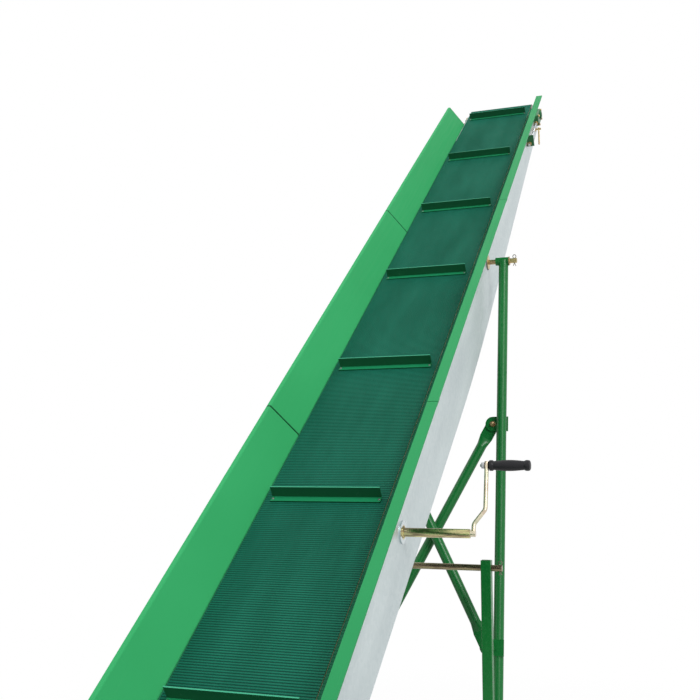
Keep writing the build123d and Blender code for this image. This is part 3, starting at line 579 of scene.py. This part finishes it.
# Painted shade: a dark band is laid a few millimetres either side of each seam between the boards.
board_run = worked(board_tree, "ADD", slope_axes(board_tree)["X"], along_zero - board_tail_s + seam_half)
seam_shade_distance = worked(board_tree, "PINGPONG", board_run, board_length / 2)
overlaid(board_paint, spread(board_tree, seam_shade_distance, 0.003, 0.005, 0.8, 0.0), (14, 70, 40))
for piece_name in sorted(CAD):
    if piece_name.startswith("board_") or piece_name == "feed_hood":
        dress(piece_name, board_paint, 0.0007)


def hex_body(centre, axis, across, height, start=0.0):
    """Hexagon nut or bolt head with both rims chamfered."""
    radius = across / 1.732
    profile = [(0.0, 0.0), (radius * 0.93, 0.0), (radius, height * 0.14), (radius, height * 0.86),
               (radius * 0.92, height), (0.0, height)]
    return turned(profile, centre, axis, 6, start=start)


def threaded(centre, axis, radius, length, pitch):
    """Screw thread: rings whose height runs round with the helix, chamfered at the far end."""
    run, side, other = square_to(axis)
    centre = Vector(centre)
    steps = 14
    per_turn = 3
    rings = max(4, int(length / pitch * per_turn))
    verts = []
    for index in range(rings + 1):
        height = length * index / rings
        for step in range(steps):
            angle = 2 * pi * step / steps
            wave = (height / pitch - step / steps) % 1.0
            reach = radius * 0.78 if index == rings else radius - pitch * 0.5 * abs(2.0 * wave - 1.0)
            verts.append(centre + run * height + (side * cos(angle) + other * sin(angle)) * reach)
    return verts, skinned(rings + 1, steps, capped=True)


def fastening(seat, axis, thread, tip=0.0):
    """Washer and hexagon with, where asked, the threaded end standing out of it."""
    run = Vector(axis).normalized()
    seat = Vector(seat)
    washer_high = thread * 0.2
    nut_high = thread * 0.8
    rim = thread * 1.05
    disc = turned([(0.0, 0.0), (rim, 0.0), (rim, washer_high), (0.0, washer_high)], seat, run, 24)
    shapes = [disc, hex_body(seat + run * washer_high, run, thread * 1.6, nut_high, seat.x * 40.0)]
    if tip:
        root = seat + run * (washer_high + nut_high - 0.0005)
        shapes.append(threaded(root, run, thread / 2, tip, thread * 0.16))
    return shapes


board_face_y = 0.2096
board_nut_n = 0.052
# Both sides: sign of Y, way out
sides = [(1, Vector((0.0, 1.0, 0.0))), (-1, Vector((0.0, -1.0, 0.0)))]
board_nuts = []
nut_places = [board_tail_s + board_length * (board + share)
              for board in range(3) for share in (0.04, 0.35, 0.65, 0.96)]
for sign, out in sides:
    for s in nut_places + [-0.07, board_tail_s - 0.05]:
        board_nuts += fastening(on_slope(s, board_nut_n, sign * board_face_y), out, 0.008, 0.005)
gathered("board_nuts", board_nuts, bright_zinc)
# Board section on the inside: y, n, from the flange's foot to the lip's edge
board_line = [(0.207, 0.04), (0.207, 0.0715), (0.2801, 0.1885), (0.2931, 0.1885)]
strap_half = 0.022
strap_gap = 0.0026
strap_thick = 0.002


def outside(line, shift):
    """Section line moved outwards, square to each of its runs."""
    normals = []
    for (y0, n0), (y1, n1) in zip(line, line[1:]):
        size = ((y1 - y0) ** 2 + (n1 - n0) ** 2) ** 0.5
        normals.append(((n1 - n0) / size, (y0 - y1) / size))
    moved = []
    for index, (y, n) in enumerate(line):
        (ay, an), (by, bn) = normals[max(index - 1, 0)], normals[min(index, len(normals) - 1)]
        share = shift / (1.0 + ay * by + an * bn)
        moved.append((y + (ay + by) * share, n + (an + bn) * share))
    return moved


def folded(line, low, high, thick, sign):
    """Sheet folded along a section line, between two places on the slope."""
    section = line + outside(line, thick)[::-1]
    verts = [on_slope(s, n, sign * y) for s in (low, high) for y, n in section]
    count = len(section)
    faces = skinned(2, count)
    for run in range(len(line) - 1):
        caps = (run, run + 1, count - 2 - run, count - 1 - run)
        faces += [caps[::-1], tuple(count + corner for corner in caps)]
    if sign < 0:
        faces = [face[::-1] for face in faces]
    return verts, faces


straps = []
strap_line = outside(board_line, strap_gap)
for sign in (1, -1):
    for seam in (board_tail_s + board_length, board_tail_s + 2 * board_length):
        straps.append(folded(strap_line, seam - strap_half, seam + strap_half, strap_thick, sign))
gathered("joint_straps", straps, board_paint)
capping_inset = 0.022
capping_thick = 0.002
capping_top = board_line[2][1] + capping_thick + 0.0001
capping_line = [(board_line[2][0] - capping_inset, capping_top), (board_line[3][0], capping_top)]
cappings = []
for board in range(3):
    low = board_tail_s + board * board_length
    cappings.append(folded(capping_line, low, low + board_length - 2 * seam_half, capping_thick, -1))
# Painted shade: the capping's green is a darker copy of the board green, so its upturned face shows no
# brighter than the boards.
shaded_capping_paint = painted("shaded_capping_paint", (53, 160, 97), (46, 150, 90), (150, 190, 160),
                        0.4, 0.1, specular=0.08, chipping=0.3)
gathered("board_cappings", cappings, shaded_capping_paint)

# Head take-up: painted bearing blocks that slide on the walls, drawn up by long screws
# through welded lugs and locked by clamp screws with tommy bars. The long screws are bright
# zinc, the clamp screws and the nuts yellow.
def passivated(name, gold, rose, olive, roughness, drawn=1.0):
    """Yellow zinc plate: rainbow clouds of gold, rose and olive over steel, drawn out along Y."""
    made, shader, tree, coords = new_finish(name, roughness, 0.95)
    stretched = node(tree, "VectorMath", {0: coords, 1: (1.0, 1.0 / drawn, 1.0)}, operation="MULTIPLY")
    cloud = noise(tree, stretched.outputs["Vector"], 26.0 * drawn ** 0.5, 4.0, 0.55)
    stops = [(0.28, olive), (0.46, gold), (0.6, rose), (0.74, gold)]
    smear = noise(tree, coords, 160.0, 3.0)
    feed(tree, shader, graded(tree, cloud, stops),
         spread(tree, smear, 0.25, 0.8, roughness + 0.12, roughness - 0.04))
    bumped(tree, shader, smear, 0.0001, 0.4)
    return made


yellow_zinc = passivated("yellow_zinc", (206, 184, 132), (172, 140, 108), (146, 142, 98), 0.28)
cast_iron = plated("cast_iron", (150, 154, 156), (112, 116, 118), 0.42)
lug_paint = painted("lug_paint", (30, 116, 62), (22, 96, 50), (140, 170, 150), 0.34, 0.2)
dress("bearing_blocks", lug_paint, 0.0012)
dress("take_up_lugs", lug_paint, 0.0008)
dress("clamp_screws", yellow_zinc, 0.0008)
up_slope = on_slope(1, 0) - on_slope(0, 0)
screw_y = 0.222
screw_n = -0.02
screw_end_s = 5.46
screw_length = 0.475
block_face = 0.237
block_bolts = [(s, n) for s in (5.43, 5.552) for n in (0.022, -0.034)]
# Nuts on a tension screw: place up the slope, way that the nut faces
take_up_places = [(5.011, -up_slope), (5.017, up_slope), (5.415, -up_slope)]
hub_profile = [(0.0161, 0.0), (0.026, 0.0), (0.026, 0.007), (0.023, 0.01), (0.0161, 0.01)]
screws = []
screw_nuts = []
hub_caps = []
for sign, out in sides:
    screw_end = on_slope(screw_end_s, screw_n, sign * screw_y)
    screws.append(threaded(screw_end, -up_slope, 0.006, screw_length, 0.0024))
    for s, way in take_up_places:
        screw_nuts += fastening(on_slope(s, screw_n, sign * screw_y), way, 0.012)
    for s, n in block_bolts:
        screw_nuts += fastening(on_slope(s, n, sign * block_face), out, 0.008)
    hub_caps.append(turned(hub_profile, on_slope(drum_spacing, 0.0, sign * block_face), out, 32, True))
screw_piece = gathered("tension_screws_cut", screws, bright_zinc, sharp=50.0)
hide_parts("tension_screws")
gathered("take_up_nuts", screw_nuts, yellow_zinc)
gathered("hub_caps", hub_caps, lug_paint)

# Tail drive: flange bearings, a cast worm gearbox on the drum's shaft and a finned motor
# below it, with a ringed fan guard, a lidded cable box and a cable gland.
gearbox_alloy = plated("gearbox_alloy", (172, 176, 178), (132, 136, 139), 0.45)
motor_enamel = painted("motor_enamel", (112, 120, 124), (96, 104, 108), (176, 180, 182),
                       0.42, 0.15)
dress("tail_bearings", cast_iron, 0.0012)
dress("gearbox", gearbox_alloy, 0.0016)
dress("motor", motor_enamel, 0.0008)
down = -off_belt
motor_s = 0.024
motor_y = 0.282
guard_radius = 0.052
gearbox_face = 0.34
gearbox_circle = 0.039
bearing_face = 0.216
bearing_circle = 0.0275
guard_black = woven_rubber("guard_black", (40, 42, 43), (22, 23, 24), 0.5, 500.0)


def rod(points, radius, steps=10, ripple=0.0):
    """Round bar along points, or a weld bead where its radius ripples."""
    path = [Vector(point) for point in points]
    verts = []
    looped = (path[0] - path[-1]).length < 1e-6
    if looped:
        path = path[:-1]
    count = len(path)
    side = None
    for index in range(count):
        before = path[(index - 1) % count] if looped or index else path[index]
        after = path[(index + 1) % count] if looped or index < count - 1 else path[index]
        run = (after - before).normalized()
        side = run.orthogonal() if side is None else side - run * side.dot(run)
        side.normalize()
        other = run.cross(side)
        swell = radius * (1.0 + ripple * (0.5 if index % 2 else -0.5))
        for step in range(steps):
            angle = 2 * pi * step / steps
            verts.append(path[index] + (side * cos(angle) + other * sin(angle)) * swell)
    faces = skinned(count, steps, capped=not looped)
    if looped:
        low = (count - 1) * steps
        reach = [(verts[low + step] - path[-1]).dot(verts[0] - path[0]) for step in range(steps)]
        shift = reach.index(max(reach))
        for step in range(steps):
            after = (step + 1) % steps
            faces.append((low + (step + shift) % steps, low + (after + shift) % steps, after, step))
    return verts, faces


def hoop(centre, axis, radius, steps=40):
    """Closed circle of points about an axis."""
    run, side, other = square_to(axis)
    angles = [2 * pi * step / steps for step in range(steps + 1)]
    points = [Vector(centre) + (side * cos(angle) + other * sin(angle)) * radius for angle in angles[:-1]]
    return points + points[:1]


fan_end = on_slope(motor_s, -0.337, motor_y)
guard_profile = [(0.0, 0.0), (guard_radius, 0.0), (guard_radius, 0.001), (0.0, 0.001)]
guard = [turned(guard_profile, fan_end, down, 40)]
guard_rings = []
for radius in (0.012, 0.022, 0.032, 0.042, guard_radius):
    guard_rings.append(rod(hoop(fan_end + down * 0.0018, down, radius), 0.0016, 8))
run, side, other = square_to(down)
spoke_foot = fan_end + down * 0.0022
for spoke in range(6):
    way = side * cos(spoke * pi / 3) + other * sin(spoke * pi / 3)
    guard_rings.append(rod([spoke_foot + way * 0.006, spoke_foot + way * 0.054], 0.0018, 8))
gathered("fan_shadow_plate", guard, guard_black)
gathered("fan_guard", guard_rings, motor_enamel)
drive_bolts = []
for index in range(6):
    way = 2 * pi * index / 6 + 0.3
    seat = on_slope(gearbox_circle * cos(way), gearbox_circle * sin(way), gearbox_face)
    drive_bolts += fastening(seat, sides[0][1], 0.006)
for sign, out in sides:
    for index in range(4):
        way = pi / 4 + index * pi / 2
        seat = on_slope(bearing_circle * cos(way), bearing_circle * sin(way), sign * bearing_face)
        drive_bolts += fastening(seat, out, 0.0055)
gathered("drive_bolts", drive_bolts, bright_zinc)

# Switch box and plug inlet: a moulded grey case on the left wall with a screwed lid and
# two push buttons, and a red appliance inlet with a sprung lid below it.
switch_s = 0.625
switch_n = -0.09
switch_face = 0.295
lid_thick = 0.005
plate_thick = 0.003
case_grey = woven_rubber("case_grey", (178, 182, 184), (158, 162, 165), 0.48, 900.0)
inlet_plastic = woven_rubber("inlet_plastic", (186, 36, 30), (158, 26, 22), 0.4, 900.0)
dress("switch_box", case_grey, 0.003)
dress("plug_inlet", inlet_plastic, 0.0015)


def pad(centre, across, up, out, width, height, corner, depth):
    """Raised plate with rounded corners and a softened rim."""
    outline = []
    for quarter, (cx, cy) in enumerate(((1, 1), (-1, 1), (-1, -1), (1, -1))):
        for step in range(6):
            angle = quarter * pi / 2 + step * pi / 10
            outline.append(((width / 2 - corner) * cx + corner * cos(angle),
                            (height / 2 - corner) * cy + corner * sin(angle)))
    verts = []
    rim = min(depth * 0.45, corner * 0.5)
    for lift, inset in ((0.0, 0.0), (depth - rim, 0.0), (depth - rim * 0.3, rim * 0.3), (depth, rim)):
        for x, y in outline:
            shrink_x = 1.0 - 2 * inset / width
            shrink_y = 1.0 - 2 * inset / height
            verts.append(Vector(centre) + across * x * shrink_x + up * y * shrink_y + out * lift)
    return verts, skinned(4, len(outline), capped=True)


left_out = sides[0][1]
lid_centre = on_slope(switch_s, switch_n, switch_face)
lid = pad(lid_centre, -up_slope, off_belt, left_out, 0.122, 0.142, 0.01, lid_thick)
gathered("switch_lid", [lid], case_grey)
plate_centre = lid_centre + left_out * lid_thick
plate = pad(plate_centre, -up_slope, off_belt, left_out, 0.052, 0.096, 0.008, plate_thick)
gathered("button_plate", [plate], guard_black)
start_green = woven_rubber("start_green", (40, 140, 62), (30, 118, 50), 0.4, 900.0)
button_profile = [(0.0, 0.0), (0.0165, 0.0), (0.0165, 0.003), (0.014, 0.004), (0.014, 0.009),
                  (0.0128, 0.0105), (0.0, 0.0112)]
for button, shift, finish, button_slot in (("start_button", 0.024, start_green, "frame_green"),
                                           ("stop_button", -0.022, inlet_plastic, "inlet_red")):
    seat = plate_centre + off_belt * shift + left_out * plate_thick
    gathered(button, [turned(button_profile, seat, left_out, 32)], finish)
lid_screws = []
for across, up in ((-0.051, -0.061), (-0.051, 0.061), (0.051, -0.061), (0.051, 0.061)):
    seat = plate_centre + up_slope * across + off_belt * up
    lid_screws.append(cup_head(seat, left_out, 0.0042))
gathered("lid_screws", lid_screws, bright_zinc)
inlet_top = on_slope(switch_s, switch_n - 0.075, 0.251)
inlet_rings = []
ridge = [(0.0279, -0.002), (0.0292, -0.0012), (0.0292, 0.0012), (0.0279, 0.002)]
for drop in (0.016, 0.024, 0.032, 0.04, 0.048):
    inlet_rings.append(turned(ridge, inlet_top + down * drop, down, 36, True))
lid_hinge = inlet_top + down * 0.062 + left_out * 0.031
inlet_rings.append(rod([lid_hinge - up_slope * 0.014, lid_hinge + up_slope * 0.014], 0.0042, 12))
gathered("inlet_ribs", inlet_rings, inlet_plastic)

# Tail stand: square tube legs bolted to the walls, drilled foot plates, a cross bar and
# a tow plate, all welded and painted the frame's dark green.
frame_paint = painted("frame_paint", (24, 128, 56), (18, 114, 48), (150, 176, 158),
                      0.2, 0.08, 0.7, specular=0.3, chipping=0.3)
dress("stand_legs", frame_paint, 0.0012)
dress("stand_bar", frame_paint, 0.0012)


def bead(points, radius=0.003):
    """Weld bead along points, cut into short rippled passes."""
    path = [Vector(point) for point in points]
    filled = []
    for first, second in zip(path, path[1:]):
        passes = max(2, ceil((second - first).length / (radius * 0.8)))
        filled += [first.lerp(second, step / passes) for step in range(passes)]
    return rod(filled + path[-1:], radius, 7, 0.28)


def box_bead(centre, half):
    """Weld bead round the foot of an upright square tube."""
    cx, cy, cz = centre
    return bead([(cx + x * half, cy + y * half, cz)
                 for x, y in ((-1, -1), (1, -1), (1, 1), (-1, 1), (-1, -1))])


leg_y = 0.232
leg_half = 0.0255
leg_inner = 0.2065
leg_outer = 0.257
tow_seam_x = -0.026
tow_seam_z = 0.1565
stand_welds = []
leg_bolts = []
for sign, out in sides:
    stand_welds.append(box_bead((0.0, sign * leg_y, 0.0085), leg_half))
    for x in (-leg_half, leg_half):
        stand_welds.append(bead([(x, sign * leg_inner, z) for z in (0.126, 0.174)]))
    for z in (0.56, 0.615):
        leg_bolts += fastening((0.0, sign * leg_outer, z), out, 0.012, 0.004)
    stand_welds.append(bead([(tow_seam_x, y, tow_seam_z) for y in (sign * 0.038, 0.0)]))
gathered("stand_welds", stand_welds, frame_paint, sharp=60.0)
gathered("leg_bolts", leg_bolts, bright_zinc)

# Hinge: pins on round flanges welded to the walls, with a washer and a split pin outside
# each collar. Yellow zinc plated, the split pins of dark spring steel.
hinge = on_slope(3.346, -0.0215)
up = Vector((0.0, 0.0, 1.0))
pin_clip_y = 0.33
pin_washer_y = 0.3056
pin_weld_y = 0.2085
pin_flange = 0.0325
dress("hinge_pins", yellow_zinc, 0.001)


def split_pin(centre, along, reach):
    """Split pin upright through a shaft: an eye above, two splayed legs below."""
    centre = Vector(centre)
    thick = 0.0016
    eye = []
    for step in range(17):
        angle = -pi / 2 + 0.35 + step * (2 * pi - 0.7) / 16
        eye.append(centre + up * (reach + 0.008 + 0.008 * sin(angle)) + along * 0.007 * cos(angle))
    shapes = [rod(eye, thick, 8)]
    for way, head in ((1, eye[0]), (-1, eye[-1])):
        leg = [head, centre + up * reach * 0.9 + along * way * thick * 0.6,
               centre - up * reach + along * way * thick * 0.6,
               centre - up * (reach + 0.007) + along * way * 0.003,
               centre - up * (reach + 0.013) + along * way * 0.006]
        shapes.append(rod(leg, thick, 8))
    return shapes


def washer(centre, axis, bore, rim, thick):
    """Flat ring."""
    worn = 0.0006
    profile = [(bore, 0.0), (rim - worn, 0.0), (rim, worn), (rim, thick - worn), (rim - worn, thick),
               (bore, thick)]
    return turned(profile, centre, axis, 36, True)


clip_steel = plated("clip_steel", (124, 118, 104), (78, 74, 66), 0.3)
hinge_clips = []
hinge_washers = []
hinge_welds = []
for sign, out in sides:
    hinge_clips += split_pin(hinge + out * pin_clip_y, out, 0.011)
    hinge_washers.append(washer(hinge + out * pin_washer_y, out, 0.0112, 0.0205, 0.003))
    hinge_welds.append(bead(hoop(hinge + out * pin_weld_y, out, pin_flange, 48), 0.0028))
gathered("hinge_clips", hinge_clips, clip_steel)
gathered("hinge_washers", hinge_washers, yellow_zinc)
gathered("hinge_welds", hinge_welds, dull_zinc, sharp=60.0)

# Posts and cross braces: round tube painted glossy dark green. The posts hang from welded
# collars; the braces' flattened ends are bolted to lug plates welded on the posts.
lean = radians(10.5)
post_down = Vector((-sin(lean), 0.0, -cos(lean)))
tailward = Vector((-cos(lean), 0.0, sin(lean)))
post_y = 0.281
post_foot_x = 1.9362
beam_top = 0.27
weld_lift = 0.001
collar_half = 0.0205
collar_radius = 0.0188
bolt_y = 0.24
lug_inner = 0.0165
tongue_outer = 0.0295
lug_half_wide = 0.0148
lug_half_high = 0.03
lug_seam = 0.0155
# Brace lugs down the post: distance of the upper and the lower bolt from the hinge
upper_drop = 0.75
lower_drop = 1.674
post_paint = painted("post_paint", (26, 124, 58), (20, 113, 50), (140, 176, 152),
                     0.24, 0.05, 0.7, specular=0.3, chipping=0.0, peel=0.03)
for piece_name in ("post_left", "post_right", "brace_front", "brace_rear"):
    dress(piece_name, post_paint, 0.0008)
brace_bolts = []
# Brace bolts: sign of Y, distance down the post, face (1 tail, -1 head)
brace_lugs = [(1, upper_drop, 1), (1, lower_drop, -1), (-1, upper_drop, -1), (-1, lower_drop, 1)]
for sign, drop, face in brace_lugs:
    spot = Vector((hinge.x, sign * bolt_y, hinge.z)) + post_down * drop
    brace_bolts += fastening(spot + tailward * face * tongue_outer, tailward * face, 0.012)
    brace_bolts += fastening(spot + tailward * face * lug_inner, tailward * -face, 0.012, 0.006)
gathered("brace_bolts", brace_bolts, yellow_zinc, "undercarriage")
post_welds = []
collar_turns = [pi * (1.0 + step / 18.0) for step in range(19)]
collar_arc = [Vector((cos(turn), 0.0, sin(turn))) * collar_radius for turn in collar_turns]
for sign, out in sides:
    for y in (post_y - collar_half, post_y + collar_half):
        post_welds.append(bead([hinge + point + out * y for point in collar_arc], 0.0026))
    post_foot = (post_foot_x, sign * post_y, beam_top + weld_lift)
    post_welds.append(bead(hoop(post_foot, up, 0.0218, 28), 0.0032))
for sign, drop, face in brace_lugs:
    for across in (-lug_half_wide, lug_half_wide):
        spot = Vector((hinge.x, sign * post_y + across, hinge.z)) + tailward * face * lug_seam
        lug_ends = [spot + post_down * (drop + way * lug_half_high) for way in (-1, 1)]
        post_welds.append(bead(lug_ends, 0.0026))
gathered("post_welds", post_welds, post_paint, "undercarriage", 60.0)

# Struts and rest shaft: short open-topped square tubes beside the posts, with a plated
# shaft through them on which the boom rests for the road, held by split pins.
dress("strut_left", frame_paint, 0.0012)
dress("strut_right", frame_paint, 0.0012)
shaft_steel = passivated("shaft_steel", (150, 140, 108), (104, 90, 74), (96, 102, 74),
                         0.22, 8.0)
dress("rest_shaft", shaft_steel, 0.0012)
shaft_x = 1.8978
shaft_z = 1.07
shaft_clip_y = 0.318
strut_foot_x = 1.8922
strut_y = 0.263
strut_half = 0.0205
shaft_clips = []
strut_welds = []
for sign, out in sides:
    shaft_clips += split_pin((shaft_x, sign * shaft_clip_y, shaft_z), out, 0.0125)
    strut_welds.append(box_bead((strut_foot_x, sign * strut_y, beam_top + weld_lift), strut_half))
gathered("shaft_clips", shaft_clips, clip_steel, "undercarriage")
gathered("strut_welds", strut_welds, frame_paint, "undercarriage", 60.0)

# Axle and wheels: a box-section beam with stub axles, pressed silver rims with hand holes
# and pneumatic tyres with grooved treads.
axle_x = 1.91416
wheel_z = 0.24
wheel_y = 0.39
dress("axle", frame_paint, 0.0015)
rim_silver = painted("rim_silver", (196, 199, 202), (176, 180, 183), (120, 112, 100),
                     0.3, 0.2, 0.6)
tyre_rubber = woven_rubber("tyre_rubber", (48, 48, 47), (26, 26, 26), 0.72, 420.0)
# Half of the tyre's section from the crown out and back inside: y, radius
tread_half = [
    (0.0, 0.24), (0.0085, 0.2399), (0.009, 0.233), (0.0135, 0.2329), (0.014, 0.2397), (0.029, 0.2388),
    (0.0295, 0.232), (0.034, 0.2315), (0.0345, 0.2382), (0.045, 0.2365), (0.0455, 0.2363), (0.058, 0.2318),
    (0.064, 0.2275), (0.0668, 0.2215), (0.068, 0.214), (0.0705, 0.205), (0.0722, 0.192), (0.0725, 0.18),
    (0.0712, 0.166), (0.068, 0.1545), (0.064, 0.147), (0.061, 0.1455), (0.0555, 0.1435), (0.052, 0.14),
    (0.0505, 0.1275), (0.042, 0.1275), (0.044, 0.145), (0.06, 0.17), (0.061, 0.19), (0.054, 0.212),
    (0.03, 0.224), (0.0, 0.226),
]
tread_ring = tread_half + [(-y, r) for y, r in reversed(tread_half[1:-1])]
tread_steps = 168
# The shoulders' blocks: between which y, above which radius and how deep they are notched
shoulder_from = 0.0452
shoulder_to = 0.067
shoulder_floor = 0.22
notch_depth = 0.0075
nut_circle = 0.0625
cap_profile = [(0.0, 0.0), (0.0255, 0.0), (0.0255, 0.004), (0.0225, 0.005), (0.0222, 0.012),
               (0.0195, 0.0155), (0.0, 0.0165)]
valve_profile = [(0.0, 0.0), (0.0055, 0.0), (0.005, 0.008), (0.0034, 0.01), (0.0034, 0.026),
                 (0.0042, 0.027), (0.0042, 0.034), (0.0028, 0.036), (0.0, 0.036)]
for side, (sign, out) in zip(("left", "right"), sides):
    body = f"wheel_{side}"
    dress(f"rim_{side}", rim_silver, 0.001)
    verts = []
    for step in range(tread_steps):
        angle = 2 * pi * step / tread_steps
        for y, r in tread_ring:
            lead = int(abs(y) > 0.05) + (2 if y < 0 else 0)
            shoulder = shoulder_from < abs(y) < shoulder_to and r > shoulder_floor
            reach = r - notch_depth if shoulder and (step + lead) % 7 < 2 else r
            verts.append((axle_x + reach * cos(angle), sign * wheel_y + y, wheel_z + reach * sin(angle)))
    tread = (verts, skinned(tread_steps, len(tread_ring), True))
    tyre = gathered(f"treaded_tyre_{side}", [tread], tyre_rubber, body)
    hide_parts(f"tyre_{side}")
    centre = Vector((axle_x, sign * wheel_y, wheel_z))
    wheel_nuts = []
    for index in range(6):
        way = 2 * pi * (index + 0.5) / 6
        spot = centre + out * 0.023 + Vector((cos(way), 0.0, sin(way))) * nut_circle
        wheel_nuts += fastening(spot, out, 0.01, 0.003)
    wheel_nuts.append(turned(cap_profile, centre + out * 0.055, out, 36))
    gathered(f"wheel_nuts_{side}", wheel_nuts, bright_zinc, body)
    valve = turned(valve_profile, centre + out * 0.02 + up * 0.104, out, 20)
    gathered(f"valve_{side}", [valve], guard_black, body)

# Winch and crank: a plated sleeve on a round flange carries the winch shaft; outside it a
# bent round bar, welded to the shaft, ends in a black moulded grip that turns on its bolt.
winch = on_slope(1.528, -0.057)
crank_throw = 0.204
sleeve_zinc = passivated("sleeve_zinc", (212, 204, 150), (142, 122, 98), (154, 178, 112),
                         0.18, 8.0)
crank_zinc = passivated("crank_zinc", (222, 212, 186), (204, 184, 164), (188, 192, 164), 0.2)
sleeve_tree = sleeve_zinc.node_tree
sleeve_places = node(sleeve_tree, "TexCoord").outputs["Object"]
across_y = (1.0, 0.0, 1.0)
sleeve_flat = node(sleeve_tree, "VectorMath", {0: sleeve_places, 1: across_y}, operation="MULTIPLY")
sleeve_reach = node(sleeve_tree, "VectorMath", {0: sleeve_flat.outputs["Vector"], 1: winch},
                    operation="DISTANCE")
flange_rim = spread(sleeve_tree, sleeve_reach.outputs["Value"], 0.021, 0.0222)
overlaid(sleeve_zinc, flange_rim, (198, 208, 210))
dress("winch_sleeve", sleeve_zinc, 0.001)
dress("crank_arm", crank_zinc, 0.0008)
right_out = sides[1][1]
sleeve_weld = [bead(hoop(winch + right_out * 0.2125, right_out, 0.0146, 24), 0.003)]
gathered("sleeve_weld", sleeve_weld, sleeve_zinc)
crank_lean = radians(14.0)
grip_foot = winch + Vector((sin(crank_lean), 0.0, cos(crank_lean))) * crank_throw
grip_nut = fastening(grip_foot + right_out * 0.4505, -right_out, 0.01, 0.004)
gathered("grip_nut", grip_nut, bright_zinc, "crank")
grip_black = woven_rubber("grip_plastic", (30, 30, 34), (16, 16, 19), 0.34, 800.0, 0.3)
grip_profile = [(0.0, 0.0), (0.015, 0.0), (0.016, 0.0012), (0.016, 0.0095), (0.0148, 0.0115),
                (0.0132, 0.0135)]
for step in range(1, 24):
    share = step / 24.0
    grip_profile.append((0.0134 + 0.0031 * sin(pi * share), 0.0135 + 0.089 * share))
grip_profile += [(0.0134, 0.1035), (0.015, 0.106), (0.016, 0.1085), (0.016, 0.115), (0.0148, 0.1195),
                 (0.011, 0.1218), (0.0, 0.122)]
grip_shape = turned(grip_profile, grip_foot + right_out * 0.465, right_out, 48)
grip = gathered("moulded_grip", [grip_shape], grip_black, "crank")
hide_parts("crank_grip")
